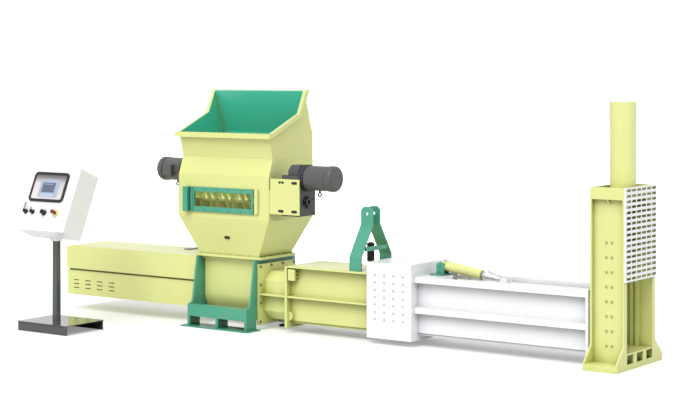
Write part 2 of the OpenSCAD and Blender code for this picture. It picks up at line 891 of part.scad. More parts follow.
press_pin_z = channel_top + press_pin_up;
press_top = press_pin_z + 66;                 // top of the uprights
press_knee = press_pin_z - 94;                // where the slopes meet the uprights
press_foot = channel_top + 126;               // where the slopes meet the feet
knee_drop = 4;                                // inner corners of the bent plate lie lower

// Leg of the press frame seen along the line: foot, slope and upright
module press_leg() {
    inner_y = -frame_neck_y + frame_t;
    foot_in = -frame_y + frame_t;
    polygon([
        [-frame_y, channel_top], [-frame_y, press_foot], [-frame_neck_y, press_knee],
        [-frame_neck_y, press_top], [inner_y, press_top], [inner_y, press_knee - knee_drop],
        [foot_in, press_foot - knee_drop], [foot_in, channel_top]
    ]);
}

module press_frame() {
    x0 = stem_x - press_frame_w / 2;
    x1 = stem_x + press_frame_w / 2;
    z1 = press_top;
    c = 30;
    color(green) {
        both_sides() difference() {
            along_x(x0, x1) press_leg();
            translate([stem_x, 0, press_pin_z])
                rod_y(-frame_neck_y - eps, -frame_neck_y + frame_t + eps, press_pin_d);
            for (x = [x0, x1]) translate([x, 0, z1]) rotate([0, 45, 0])
                block([-c / 1.414, -frame_neck_y - eps, -c / 1.414],
                      [c / 1.414, -frame_neck_y + frame_t + eps, c / 1.414]);
        }
        block([x1 - 14, -170, channel_top + 174], [x1, 170, channel_top + 214]);
    }
}

boot_n = 6;

module press_stem() {
    z0 = channel_top + 10;
    pitch = 38;
    color(dark) translate([stem_x, 0, 0]) {
        translate([0, 0, bore_top + gap]) cylinder(d = stem_d, h = channel_top + 240 - bore_top);
        for (i = [0 : boot_n - 1]) translate([0, 0, channel_top + 74 + i * 28]) cylinder(d = 70, h = 20);
    }
    color(steel) block([stem_x - stem_plate_l, -stem_plate_y, bore_top + gap],
                       [stem_x + stem_plate_l, stem_plate_y, bore_top + gap + 16]);
}

// ---------------------------------------------------------------- jaw housing

module jaw_housing() {
    t = jaw_t;
    x0 = jaw_x;
    x1 = brake_x;
    roof = bore_top + tube_wall;
    color(white) {
        difference() {
            block([x0, -jaw_y, jaw_bottom], [x1, jaw_y, jaw_top]);
            block([x0 + t, -jaw_y + t, jaw_bottom + t], [x1 - t, jaw_y - t, jaw_top - t]);
            passage(x0, x1, floor_z, floor_z);
        }
        difference() {
            block([x0 + t, -trough_y, floor_z - tube_wall], [x1 - t, trough_y, roof]);
            passage(x0, x1, floor_z, floor_z);
        }
    }
}

jaw_bolt_x = [91, 190, 288, 388];
jaw_bolt_pitch = 66;

module jaw_bolts() {
    color(dark) both_sides() for (x = jaw_bolt_x, k = [0 : 6])
        translate([jaw_x + x, -jaw_y, 226 + k * jaw_bolt_pitch]) rotate([90, 0, 0])
            cylinder(d = 20, h = 8, $fn = 6);
}

// ---------------------------------------------------------------- brake channel

brake_bottom = 103;                           // underside of the brake channel
mouth_x0 = brake_x + 500;                     // length of the roof opening under the flap
mouth_x1 = end_x - 60;
flap_y = bore_y - 8;
flap_z = bore_top + gap;                      // underside of the flap

module brake_channel() {
    roof = bore_top + tube_wall;
    z1 = channel_top;
    t = brake_rib_t;
    r = tube_wall;
    // the flap's hinge pin runs through the side walls
    color(white) translate([flap_hinge_x, 0, flap_hinge_z]) rod_y(-wall_y, wall_y, flap_pin_d);
    color(grey) translate([brake_x + 405, -230, z1]) cylinder(d = 37, h = 50);
    color(white) difference() {
        union() {
            block([brake_x, -base_y, brake_bottom], [end_x, base_y, brake_bottom + base_h]);
            block([brake_x, -wall_y, brake_bottom + base_h - 1], [end_x, wall_y, roof]);
            for (z = [304, z1 - t]) both_sides()
                block([brake_x, -rib_y, z], [end_x, -wall_y + r, z + t]);
            both_sides() block([brake_x, -wall_y, roof - 1], [end_x, -bore_y, z1]);
            block([brake_x, -wall_y, roof - 1], [brake_x + 300, wall_y, z1]);
        }
        passage(brake_x, end_x, floor_z, floor_z);
        block([mouth_x0, -bore_y, bore_top - eps], [mouth_x1, bore_y, z1 + eps]);
        block([brake_x + 20, -bore_y, roof], [brake_x + 280, bore_y, z1 - 20]);
        for (z = [304, z1 - t]) both_sides()
            block([brake_x + 20, -rib_y + 8, z + 8], [end_x - 20, -wall_y, z + t - 8]);
    }
}

module end_flange() {
    color(white) {
        along_x(end_x, end_x + plate_t) difference() {
            band(plate_y, jaw_bottom, channel_top + 11);
            band(bore_y, floor_z, bore_top);
        }
        for (side = [-1, 1], z = [80, 225, 430, 545]) translate([end_x, side * 250, z])
            rotate([0, 180, 0]) bolt_x(22);
        along_x(end_x + plate_t, tower_x) difference() {
            band(trough_y + 30, floor_z - 40, bore_top + 40);
            band(bore_y, floor_z, bore_top);
        }
    }
}

flap_hinge_x = brake_x + 550;                 // hinge axis of the flap
flap_hinge_z = bore_top + 38;
flap_pin_d = 24;
lug_x = flap_hinge_x + 224;                   // pin of the cylinder's rod on the flap
lug_z = flap_hinge_z + 42;
lug_t = 18;
lug_in = 27;                                  // inner half gap between the two lugs

module brake_flap() {
    color(white) {
        difference() {
            union() {
                block([flap_hinge_x, -flap_y, flap_z], [mouth_x1 - 12, flap_y, flap_z + flap_t]);
                translate([flap_hinge_x, 0, flap_hinge_z]) rod_y(-flap_y, flap_y, flap_pin_d + 24);
                for (side = [-1, 1]) block([flap_hinge_x + 60, side * 150 - 8, flap_z + flap_t - 1],
                                           [mouth_x1 - 12, side * 150 + 8, flap_z + flap_t + 30]);
                both_sides() along_y(lug_in, lug_in + lug_t) {
                    translate([lug_x, lug_z]) circle(34);
                    polygon([[lug_x - 34, lug_z], [lug_x + 34, lug_z],
                             [lug_x + 60, flap_z + flap_t - 1], [lug_x - 60, flap_z + flap_t - 1]]);
                }
            }
            translate([flap_hinge_x, 0, flap_hinge_z]) rod_y(-flap_y - eps, flap_y + eps, flap_pin_d + 2 * run);
        }
        translate([lug_x, 0, lug_z]) rod_y(-lug_in - lug_t - 6, lug_in + lug_t + 6, clamp_pin_d);
    }
}

clamp_x = brake_x + 126;                      // rear pin of the clamp cylinder
clamp_z = channel_top + 89;
clamp_len = sqrt(pow(lug_x - clamp_x, 2) + pow(clamp_z - lug_z, 2));
clamp_slope = atan((clamp_z - lug_z) / (lug_x - clamp_x));
cheek_in = 30;

// Frame of the clamp cylinder: origin at its rear pin, +X along the rod
module on_clamp() {
    translate([clamp_x, 0, clamp_z]) rotate([0, clamp_slope, 0]) children();
}

module clamp_bracket() {
    color(green) {
        block([clamp_x - 63, -105, channel_top], [clamp_x + 54, 105, channel_top + 12]);
        both_sides() difference() {
            along_y(cheek_in, cheek_in + 16) {
                polygon([
                    [clamp_x - 31, channel_top + 11], [clamp_x - 31, clamp_z + 8],
                    [clamp_x + 12, clamp_z + 30], [clamp_x + 47, clamp_z + 10],
                    [clamp_x + 47, channel_top + 11]
                ]);
            }
        }
        translate([clamp_x, 0, clamp_z]) rod_y(-cheek_in - 22, cheek_in + 22, clamp_pin_d);
    }
}

clamp_travel = 24;                            // free travel of the rod inside the barrel
barrel_x1 = 420;

module clamp_barrel() {
    r = clamp_rod_d / 2;
    color(yellow) on_clamp() difference() {
        union() {
            rod_x(66, barrel_x1, clamp_d);
            rod_x(56, 67, clamp_d + 6);
            rod_y(-cheek_in + 3, cheek_in - 3, 52);
            block([0, -cheek_in + 3, -26], [57, cheek_in - 3, 26]);
        }
        rod_y(-cheek_in, cheek_in, clamp_pin_d + 2 * run);
        rod_x(80, barrel_x1 - 30, clamp_d - 16);
        rod_x(barrel_x1 - 31, barrel_x1 + eps, clamp_rod_d + 2 * run);
    }
}

module clamp_rod() {
    open_pivot = 3;                           // clearance of the eye on the flap's pin
    color(steel) on_clamp() difference() {
        union() {
            rod_x(240, clamp_len - 36, clamp_rod_d);
            rod_x(260, 300, clamp_d - 16 - 2 * run);
            rod_x(barrel_x1 + 16, barrel_x1 + 60, 74);
            translate([barrel_x1 + 59, 0, 0]) rotate([0, 90, 0]) cylinder(d1 = 108, d2 = 56, h = 128);
            translate([clamp_len, 0, 0]) rod_y(-lug_in + 3, lug_in - 3, 68);
            block([clamp_len - 50, -lug_in + 3, -24], [clamp_len, lug_in - 3, 24]);
        }
        translate([clamp_len, 0, 0]) rod_y(-lug_in, lug_in, clamp_pin_d + 2 * open_pivot);
    }
}

// ---------------------------------------------------------------- cutting tower

foot_slope_z = 195;                           // height where the feet meet the uprights
opening_y = 240;                              // half width of the portal's opening
haunch_y = 130;
haunch_z = 110;
beam_z = tower_h - beam_h;
cut_base_z = tower_h - 25;                    // top plate, set down inside the tower's rim

module portal_outline() {
    polygon([
        [-tower_foot_y, 0], [-tower_foot_y, 60], [-tower_y, foot_slope_z], [-tower_y, tower_h],
        [tower_y, tower_h], [tower_y, foot_slope_z], [tower_foot_y, 60], [tower_foot_y, 0]
    ]);
}

module foot_holes() {
    for (y = [-180, 0, 180]) translate([y - 57, 48]) square([115, 75]);
}

module portal_plate_in() {
    color(yellow) along_x(tower_x, tower_x + portal_t) difference() {
        portal_outline();
        band(bore_y, floor_z, bore_top);
        foot_holes();
    }
}

module portal_plate_out() {
    color(yellow) along_x(tower_x1 - portal_t, tower_x1) difference() {
        portal_outline();
        polygon([
            [-opening_y, floor_z], [-opening_y, beam_z - haunch_z], [-opening_y + haunch_y, beam_z],
            [opening_y - haunch_y, beam_z], [opening_y, beam_z - haunch_z], [opening_y, floor_z]
        ]);
        foot_holes();
    }
}

module tower_sides() {
    x0 = tower_x + portal_t;
    x1 = tower_x1 - portal_t;
    t = 12;
    color(yellow) {
        both_sides() {
            block([x0, -column_y - 20, 55], [x1, -column_y - 20 + t, beam_z]);
            block([x0, -tower_foot_y, 0], [x1, -tower_foot_y + 20, 55]);
            block([x0, -tower_foot_y + 20, 43], [x1, -column_y - 20, 55]);
            along_x(tower_mid - 6, tower_mid + 6) polygon([
                [-tower_y + 4, beam_z], [-column_y - 20, beam_z], [-column_y - 20, beam_z - 45]
            ]);
        }
        block([x0, -column_y, floor_z - 14], [x1, column_y, floor_z]);
    }
}

module tower_beam() {
    x0 = tower_x + portal_t;
    x1 = tower_x1 - portal_t;
    color(yellow) difference() {
        block([x0, -tower_y, beam_z], [x1, tower_y, tower_h]);
        block([x0 - eps, -tower_y + 16, beam_z + 20], [x1 + eps, tower_y - 16, cut_base_z - 20]);
        block([x0 - eps, -tower_y + 16, cut_base_z], [x1 + eps, tower_y - 16, tower_h + eps]);
        translate([tower_mid, 0, beam_z - eps]) cylinder(d = cut_rod_d + 30, h = beam_h + 2 * eps);
    }
}

rail_in = 24;                                 // depth of the guide rails
rail_w = 80;
groove = 12;                                  // depth of the rails' grooves

module guide_rails() {
    groove_w = knife_t + 2;
    color(yellow) both_sides() difference() {
        block([tower_mid - rail_w / 2, -column_y - 8, floor_z],
              [tower_mid + rail_w / 2, -column_y + rail_in, beam_z]);
        block([tower_mid - groove_w / 2, -column_y + rail_in - groove, floor_z - eps],
              [tower_mid + groove_w / 2, -column_y + rail_in + eps, beam_z + eps]);
    }
    color(dark) both_sides() for (x = [-24, 24], k = [0 : 7])
        translate([tower_mid + x, -column_y - 20, 191 + k * 121]) rotate([90, 0, 0])
            cylinder(d = 20, h = 8, $fn = 6);
}

guard_rows = 17;
guard_cols = 6;
guard_out = 15;           // depth of the guard's shallow box

module mesh_guard() {
    t = 3;
    w = 78;
    h = 21;
    x1 = tower_x1 + guard_out;
    step = 2 * tower_y / (guard_cols + 0.2);
    color(white) difference() {
        block([tower_x1, -tower_y, guard_bottom], [x1, tower_y, tower_h]);
        block([tower_x1 - eps, -tower_y + t, guard_bottom + t], [x1 - t, tower_y - t, tower_h - t]);
        for (i = [0 : guard_rows - 1], k = [0 : guard_cols - 1])
            translate([x1 - t - eps, (k - (guard_cols - 1) / 2) * step - w / 2,
                       guard_bottom + 16 + i * guard_pitch])
                cube([t + 2 * eps, w, h]);
    }
}

cut_rod_d = 60;
cut_stroke = 570;
cut_bore = cut_cyl_d - 34;
piston_h = 40;
cut_gland = 60;           // thickness of the cylinder's lower end
cut_top_z = tower_h + cut_cyl_h;
piston_top_z = cut_top_z - 20 - gap;          // the piston at rest, with the knife up

module cutting_cylinder() {
    color(yellow) translate([tower_mid, 0, 0]) difference() {
        translate([0, 0, cut_base_z]) cylinder(d = cut_cyl_d, h = cut_top_z - cut_base_z);
        translate([0, 0, cut_base_z + cut_gland]) cylinder(d = cut_bore, h = cut_top_z - 20 - cut_base_z - cut_gland);
        translate([0, 0, cut_base_z - eps]) cylinder(d = cut_rod_d + 2 * run, h = cut_gland + 2 * eps);
    }
}

knife_z = floor_z + cut_stroke + 12;          // cutting edge at rest
knife_h = 300;

module knife_carriage() {
    y = column_y - rail_in + groove - gap;
    color(steel) {
        block([tower_mid - knife_t / 2, -y, knife_z + 20], [tower_mid + knife_t / 2, y, knife_z + knife_h]);
        along_y(-y, y) polygon([
            [tower_mid - knife_t / 2, knife_z + 21], [tower_mid + knife_t / 2, knife_z + 21],
            [tower_mid + 1, knife_z], [tower_mid - 1, knife_z]
        ]);
        block([tower_mid - 50, -150, knife_z + knife_h - 60], [tower_mid + 50, 150, knife_z + knife_h]);
        translate([tower_mid, 0, knife_z + knife_h - 1])
            cylinder(d = cut_rod_d, h = piston_top_z - knife_z - knife_h);
        translate([tower_mid, 0, piston_top_z - piston_h])
            cylinder(d = cut_bore - 2 * run, h = piston_h);
    }
}

// ---------------------------------------------------------------- console

console_x = -1519;                            // left side of the box
console_y = -1563;                            // lower front edge of the box
console_z = 949;                              // height of that edge
pole_x = -1200;
pole_y = -1350;
pole_top = 834;
foot_x = -1482;
foot_y = -1574;

// Frame of the box: origin at its lower front left corner, its front on the plane Y = 0
module on_console() {
    translate([console_x, console_y, console_z]) rotate([-console_tilt, 0, 0]) children();
}

module console_foot() {
    t = 6;
    x1 = foot_x + console_foot_w;
    y1 = foot_y + console_foot_d;
    color(grey) difference() {
        union() {
            block([foot_x, foot_y, 0], [x1, y1, console_foot_h]);
            block([foot_x, foot_y - 8, console_foot_h], [x1, y1 + 8, console_foot_h + t]);
        }
        block([foot_x + t, foot_y + t, -eps], [x1 + eps, y1 - t, console_foot_h]);
    }
}

module console_pole() {
    w = pole_w / 2;
    t = 4;
    c = w + 18;                               // half width of the collar under the box
    z0 = console_foot_h + 6;
    color(grey) difference() {
        block([pole_x - w, pole_y - w, z0], [pole_x + w, pole_y + w, pole_top]);
        block([pole_x - w + t, pole_y - w + t, z0 - eps], [pole_x + w - t, pole_y + w - t, pole_top + eps]);
    }
    color(dark) block([pole_x - w - 4, pole_y - w - 4, pole_top], [pole_x + w + 4, pole_y + w + 4, pole_top + 6]);
    color(white) difference() {
        block([pole_x - c, pole_y - c, pole_top + 6], [pole_x + c, pole_y + c, console_z]);
        on_console() block([-eps, -50, 0], [console_w + eps, console_d + 100, 200]);
    }
}

dial_z = 180;                                 // height of the row of switches on the box
dial_x = [62, 150, 300];                      // the three selectors
stop_x = 450;
dial_hole = 30;
screen_x = 48;                                // lower left corner of the screen's bezel
screen_z = 284;
screen_w = 446;
screen_h = 290;
bezel_w = 25;

module console_box() {
    t = 4;
    color(white) on_console() difference() {
        cube([console_w, console_d, console_h]);
        translate([t, t, t]) cube([console_w - 2 * t, console_d - 2 * t, console_h - 2 * t]);
        for (x = concat(dial_x, [stop_x])) translate([x, 0, dial_z])
            rod_y(-eps, t + eps, dial_hole + 2 * run);
        translate([screen_x + 14, -eps, screen_z + 14])
            cube([screen_w - 28, t + 2 * eps, screen_h - 28]);
    }
}

module screen_bezel() {
    b = bezel_w;
    color(dark) on_console() difference() {
        along_y(-12, 0) translate([screen_x, screen_z]) rounded([screen_w, screen_h], 40);
        along_y(-13, 1) translate([screen_x + b, screen_z + b])
            rounded([screen_w - 2 * b, screen_h - 2 * b], 18);
    }
}

// Rectangle with round corners, from its lower left corner
module rounded(size, r) {
    translate([r, 0]) square([size[0] - 2 * r, size[1]]);
    translate([0, r]) square([size[0], size[1] - 2 * r]);
    for (x = [r, size[0] - r], z = [r, size[1] - r]) translate([x, z]) circle(r);
}

module screen_glass() {
    b = bezel_w;
    color("#7C8B95") on_console() along_y(-8, -2) translate([screen_x + b, screen_z + b])
        rounded([screen_w - 2 * b, screen_h - 2 * b], 18);
}

// Selector switch: collar, stem through the panel and turning head with its handle
module selector(x, head_d, head_out, handle_up) {
    on_console() translate([x, 0, dial_z]) {
        color(steel) rod_y(-8, -0.5, head_d + 14);
        color(dark) {
            rod_y(-9, 30, dial_hole);
            rod_y(-head_out + 10, -7, head_d);
            block([-7, -head_out, -head_d / 2 + 1], [7, -head_out + 11, handle_up]);
        }
    }
}

module selector_1() {
    selector(dial_x[0], 34, 44, 82);
}

module selector_2() {
    selector(dial_x[1], 34, 44, 36);
}

module selector_3() {
    selector(dial_x[2], 46, 50, 22);
}

module stop_ring() {
    color("#E8C21A") on_console() translate([stop_x, 0, dial_z]) difference() {
        rod_y(-10, 0, 74);
        rod_y(-11, 1, dial_hole + 2 * run);
    }
}

module stop_button() {
    color("#C8262B") on_console() translate([stop_x, 0, dial_z]) {
        rod_y(-38, 30, dial_hole);
        rod_y(-60, -37, 38);
    }
}

stand_plates();
foot_beams();
foot_plates();
stand_top_frame();
press_trough();
funnel();
crusher_box();
hopper();
hopper_rim();
window_hinge();
window_door();
window_pane();
rotor_front();
rotor_rear();
end_bearings();
torque_plates();
gearbox_right();
gearbox_left();
motor_right();
motor_left();
fan_cowl_right();
fan_cowl_left();
housing_tray();
housing_cover();
main_cylinder();
main_ram();
flange_plate();
neck_tube();
channel_plate();
neck_foot();
channel();
sensor_box();
press_frame();
press_stem();
jaw_housing();
jaw_bolts();
brake_channel();
end_flange();
brake_flap();
clamp_bracket();
clamp_barrel();
clamp_rod();
portal_plate_in();
portal_plate_out();
tower_sides();
tower_beam();
guide_rails();
mesh_guard();
cutting_cylinder();
knife_carriage();
console_foot();
console_pole();
console_box();
screen_bezel();
screen_glass();
selector_1();
selector_2();
selector_3();
stop_ring();
stop_button();
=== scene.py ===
"""Visual model of a foam compactor line: finishes, screws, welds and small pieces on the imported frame."""

import math

import bmesh
import bpy
from mathutils import Matrix, Vector


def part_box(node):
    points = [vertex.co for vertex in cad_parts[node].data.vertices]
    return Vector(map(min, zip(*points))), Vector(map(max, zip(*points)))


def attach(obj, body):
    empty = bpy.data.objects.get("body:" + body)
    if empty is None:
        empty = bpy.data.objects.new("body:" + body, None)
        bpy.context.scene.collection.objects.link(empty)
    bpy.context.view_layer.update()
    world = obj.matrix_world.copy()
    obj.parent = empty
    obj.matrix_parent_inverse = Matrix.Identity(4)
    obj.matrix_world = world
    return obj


bl_info = {
    "name": "Foam Compactor Line",
    "version": (1, 0, 0),
    "blender": (4, 5, 0),
    "location": "View3D > Sidebar > Compactor",
    "description": "Builds the finishes and the small pieces of a foam compactor line",
    "category": "Object",
}

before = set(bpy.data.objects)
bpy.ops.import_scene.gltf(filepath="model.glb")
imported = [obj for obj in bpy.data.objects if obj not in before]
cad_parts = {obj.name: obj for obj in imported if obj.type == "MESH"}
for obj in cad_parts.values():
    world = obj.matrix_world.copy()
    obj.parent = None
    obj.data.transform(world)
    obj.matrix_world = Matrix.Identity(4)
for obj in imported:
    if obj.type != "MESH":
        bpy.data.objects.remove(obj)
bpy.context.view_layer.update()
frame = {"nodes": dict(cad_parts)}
NODES = frame["nodes"]

# Places on the frame's pieces that their boxes don't give, in metres
HOPPER_TOP_Y = 0.2                 # back of the hopper's mouth
HOPPER_LEAN_Z = 0.231              # crusher box's top to the fold where the hopper's back leans
HOPPER_NECK = (0.057, 0.235)       # how far the hopper's front comes out, over what height
WINDOW_FACE_Y = -0.356             # outer face of the window door's frame
WINDOW_SCREWS_X = (-0.219, -0.076, 0.072, 0.224)
ROTOR_Y = -0.205                   # axis of the front rotor
DRIVE_ABOVE_ROTOR = 0.247          # middle of the rotor to the top of a gearbox's block
GEARBOX_BOSS = 0.039               # bearing boss on a gearbox's outer face
GEARBOX_LENGTH = 0.195             # along the line, without its boss
FUNNEL_FOOT = (-0.253, 0.684)      # Y and Z where the funnel's front starts to lean
FLANGE_EDGE = (0.377, 0.259)       # screw lines of the funnel's flange, in X and Y
CHANNEL_WALL_Y = 0.212             # outer face of the channels' side walls
CHANNEL_RIBS = (0.332, 0.350, 0.611)  # heights of the faces where ribs meet the channel's walls
BRAKE_RIBS = (0.304, 0.359, 0.574)    # the same on the brake channel
CRUSHER_CORNER = (0.55, 0.342)     # upright corners of the crusher box, in X and Y
CRUSHER_STEP = 0.163               # how much lower the front corners end
BRAKE_POST = ((2.49, -0.26, 0.6295), (2.54, -0.2, 0.672), 0.69)  # its corners and the top of its cap
PANEL_TILT = math.radians(23.0)    # lean of the console's front
FAR = 2.0                          # past every piece


def span(node):
    """Lowest and highest corner of a CAD node, as vectors in metres."""
    low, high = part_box(node)
    return Vector(low), Vector(high)


# ---------------------------------------------------------------- shader and geometry trees


class Wire:
    """A node's output that takes part in sums and comparisons."""

    def __init__(self, tree, socket):
        self.tree = tree
        self.socket = socket

    def _math(self, operation, first, second):
        return self.tree.node("ShaderNodeMath", {"operation": operation}, {0: first, 1: second})

    def __add__(self, other):
        return self._math("ADD", self, other)

    __radd__ = __add__

    def __mul__(self, other):
        return self._math("MULTIPLY", self, other)

    __rmul__ = __mul__

    def __sub__(self, other):
        return self._math("SUBTRACT", self, other)

    def __rsub__(self, other):
        return self._math("SUBTRACT", other, self)

    def __gt__(self, other):
        return self._math("GREATER_THAN", self, other)

    def __lt__(self, other):
        return self._math("LESS_THAN", self, other)

    def __abs__(self):
        return self._math("ABSOLUTE", self, 0.0)

    def most(self, other):
        return self._math("MAXIMUM", self, other)

    def step(self, low, high):
        """0 at low, 1 at high, smooth between."""
        settings = {"interpolation_type": "SMOOTHSTEP"}
        values = {"Value": self, "From Min": low, "From Max": high}
        return self.tree.node("ShaderNodeMapRange", settings, values)


class Tree:
    """Builds a node tree, one node a call."""

    def __init__(self, nodes):
        self.tree = nodes

    def node(self, kind, settings=None, values=None, out=0):
        made = self.tree.nodes.new(kind)
        for key, value in (settings or {}).items():
            setattr(made, key, value)
        for key, value in (values or {}).items():
            socket = made.inputs[key]
            if isinstance(value, Wire):
                self.tree.links.new(value.socket, socket)
            else:
                socket.default_value = value
        return Wire(self, made.outputs[out])


class Finish(Tree):
    """A material with one Principled shader."""

    def __init__(self, name):
        self.material = bpy.data.materials.get(name) or bpy.data.materials.new(name)
        self.material.use_nodes = True
        super().__init__(self.material.node_tree)
        self.tree.nodes.clear()
        self.shader = self.tree.nodes.new("ShaderNodeBsdfPrincipled")
        end = self.tree.nodes.new("ShaderNodeOutputMaterial")
        self.tree.links.new(self.shader.outputs["BSDF"], end.inputs["Surface"])
        self.place = self.node("ShaderNodeTexCoord", out="Object")

    def set(self, **values):
        for key, value in values.items():
            socket = self.shader.inputs[key.replace("_", " ")]
            if isinstance(value, Wire):
                self.tree.links.new(value.socket, socket)
            else:
                socket.default_value = value
        return self

    def noise(self, scale, detail=3.0, roughness=0.55, at=None):
        values = {"Vector": at or self.place, "Scale": scale, "Detail": detail, "Roughness": roughness}
        return self.node("ShaderNodeTexNoise", None, values, "Fac")

    def axes(self):
        """The place on the object as three wires."""
        made = self.tree.nodes.new("ShaderNodeSeparateXYZ")
        self.tree.links.new(self.place.socket, made.inputs[0])
        return [Wire(self, made.outputs[i]) for i in range(3)]

    def within(self, low, high):
        """A mask that is 1 inside a box."""
        mask = 1.0
        for place, start, end in zip(self.axes(), low, high):
            mask = (place > start) * (place < end) * mask
        return mask

    def corners(self, distance):
        """A mask that is 1 deep in corners and under ledges, for painted shade: ambient occlusion about a
        normal tipped upward, so the shade falls from above.
        """
        flat = self.node("ShaderNodeNewGeometry", out="Normal")
        lift = {0: flat, 1: (0.0, 0.0, 0.5)}
        raised = self.node("ShaderNodeVectorMath", {"operation": "ADD"}, lift, "Vector")
        upward = self.node("ShaderNodeVectorMath", {"operation": "NORMALIZE"}, {0: raised}, "Vector")
        values = {"Distance": distance, "Normal": upward}
        open_sky = self.node("ShaderNodeAmbientOcclusion", {"samples": 8}, values, "AO")
        return 1.0 - open_sky.step(0.15, 0.93)

    def mix(self, factor, first, second):
        settings = {"data_type": "RGBA"}
        return self.node("ShaderNodeMix", settings, {0: factor, 6: first, 7: second}, 2)

    def round_edges(self, radius):
        """The normal with its edges rounded, and a mask that is 1 on those edges."""
        rounded = self.node("ShaderNodeBevel", {"samples": 4}, {"Radius": radius}, "Normal")
        flat = self.node("ShaderNodeNewGeometry", out="Normal")
        pair = {0: rounded, 1: flat}
        turn = self.node("ShaderNodeVectorMath", {"operation": "DOT_PRODUCT"}, pair, "Value")
        return rounded, (1.0 - turn).step(0.03, 0.3)

    def bump(self, height, distance, strength, normal=None):
        values = {"Height": height, "Distance": distance, "Strength": strength}
        if normal:
            values["Normal"] = normal
        return self.node("ShaderNodeBump", None, values, "Normal")


def tint(colour, gain):
    """The colour made lighter or darker, as a node's four values."""
    return tuple(min(1.0, c * gain) for c in colour[:3]) + (1.0,)


def powder_coat(name, colour, lining=None, roughness=0.36, wear=0.35, dirt=0.12, recess=0.85,
                reach=0.15, zones=()):
    """Sprayed paint on steel: mottle, orange peel, rubbed edges, painted shade in corners and under ledges,
    and dust low down.

    Recess is how dark the painted shade in the corners goes, reach how far out of them it spreads. Each
    zone is the low corner, high corner and colour of a part that has another colour.
    """
    finish = Finish(name)
    rounded, edge = finish.round_edges(0.003)
    cloud = finish.noise(1.7, 4.0)
    base = finish.mix(cloud, tint(colour, 0.955), tint(colour, 1.03))
    if lining:
        base = finish.mix(inside_hopper(finish), base, tint(lining, 1.0))
    plain = 1.0
    for low, high, other in zones:
        inside = finish.within(low, high)
        base = finish.mix(inside, base, tint(other, 1.0))
        plain = (1.0 - inside) * plain
    # painted shade: where the corner mask is high, the colour turns towards a darker square of itself
    base = finish.mix(finish.corners(reach) * recess * plain, base, tint([c * c for c in colour], 0.45))
    z = finish.axes()[2]
    low = (1.0 - z.step(0.0, 0.45)) * finish.noise(6.0, 5.0, 0.7).step(0.42, 0.75)
    base = finish.mix(low * dirt, base, (0.30, 0.27, 0.20, 1.0))
    rub = edge * finish.noise(22.0, 4.0, 0.7).step(0.45, 0.7)
    base = finish.mix(rub * wear * plain, base, tint(colour, 1.25))
    peel = finish.noise(420.0, 2.0)
    sheet = finish.noise(2.6, 2.0)
    normal = finish.bump(peel, 0.0004, 0.10, rounded)
    normal = finish.bump(sheet, 0.02, 0.10, normal)
    rough = roughness + 0.14 * (finish.noise(9.0, 4.0) - 0.5) + 0.12 * low
    finish.set(Base_Color=base, Roughness=rough, Normal=normal, IOR=1.48)
    finish.set(Coat_Weight=0.35, Coat_Roughness=0.12)
    return finish.material


def inside_hopper(finish):
    """A mask that is 1 on the inner faces of the hopper's sheets, above the rotors."""
    x, y, z = finish.axes()
    low, high = span("hopper")
    crusher = span("crusher_box")[1]
    wall = 0.004
    lean_z = crusher.z + HOPPER_LEAN_Z
    lean = (high.y - HOPPER_TOP_Y) / (high.z - lean_z)
    out, rise = HOPPER_NECK
    front = low.y + out - (z - crusher.z) * (out / rise) + wall
    back = (high.y - wall) - (z - lean_z).most(0.0) * lean
    inner = (abs(x) < high.x - wall) * (y > front.most(low.y + wall)) * (y < back)
    return inner * (z > span("window_door")[1].z + 0.08)


def cast_metal(name, colour, roughness=0.5, zones=()):
    """Painted cast iron or aluminium: grain, dark pits and rubbed edges."""
    finish = Finish(name)
    rounded, edge = finish.round_edges(0.004)
    cloud = finish.noise(9.0, 5.0)
    base = finish.mix(cloud, tint(colour, 0.8), tint(colour, 1.2))
    for low, high, other in zones:
        base = finish.mix(finish.within(low, high), base, tint(other, 1.0))
    rub = edge * finish.noise(40.0, 3.0).step(0.4, 0.7)
    base = finish.mix(rub * 0.5, base, tint(colour, 2.0))
    normal = finish.bump(finish.noise(260.0, 3.0), 0.0008, 0.35, rounded)
    rough = roughness + 0.2 * (finish.noise(30.0, 4.0) - 0.5)
    finish.set(Base_Color=base, Roughness=rough, Normal=normal)
    return finish.material


def bright_steel(name, colour, roughness=0.28, lay=(1.0, 60.0, 60.0)):
    """Ground or drawn steel with fine lines along one direction."""
    finish = Finish(name)
    rounded = finish.round_edges(0.0015)[0]
    stretched = finish.node("ShaderNodeMapping", None, {"Vector": finish.place, "Scale": lay}, 0)
    lines = finish.noise(14.0, 3.0, 0.6, stretched)
    base = finish.mix(lines, tint(colour, 0.8), tint(colour, 1.15))
    smudge = finish.noise(7.0, 4.0).step(0.5, 0.8)
    base = finish.mix(smudge * 0.3, base, tint(colour, 0.55))
    rough = roughness + 0.18 * (lines - 0.5) + 0.1 * smudge
    normal = finish.bump(lines, 0.0003, 0.12, rounded)
    finish.set(Base_Color=base, Metallic=1.0, Roughness=rough, Normal=normal)
    return finish.material


def plastic(name, colour, roughness=0.3, grain=0.15):
    """Moulded plastic or rubber with a fine grain."""
    finish = Finish(name)
    rounded, edge = finish.round_edges(0.001)
    base = finish.mix(finish.noise(30.0, 3.0), tint(colour, 0.85), tint(colour, 1.15))
    # painted highlight: every rounded edge is lightened a quarter of the way towards 1.6 times the colour
    base = finish.mix(edge * 0.25, base, tint(colour, 1.6))
    normal = finish.bump(finish.noise(900.0, 2.0), 0.0003, grain, rounded)
    finish.set(Base_Color=base, Roughness=roughness + 0.1 * (finish.noise(50.0, 3.0) - 0.5), Normal=normal)
    return finish.material


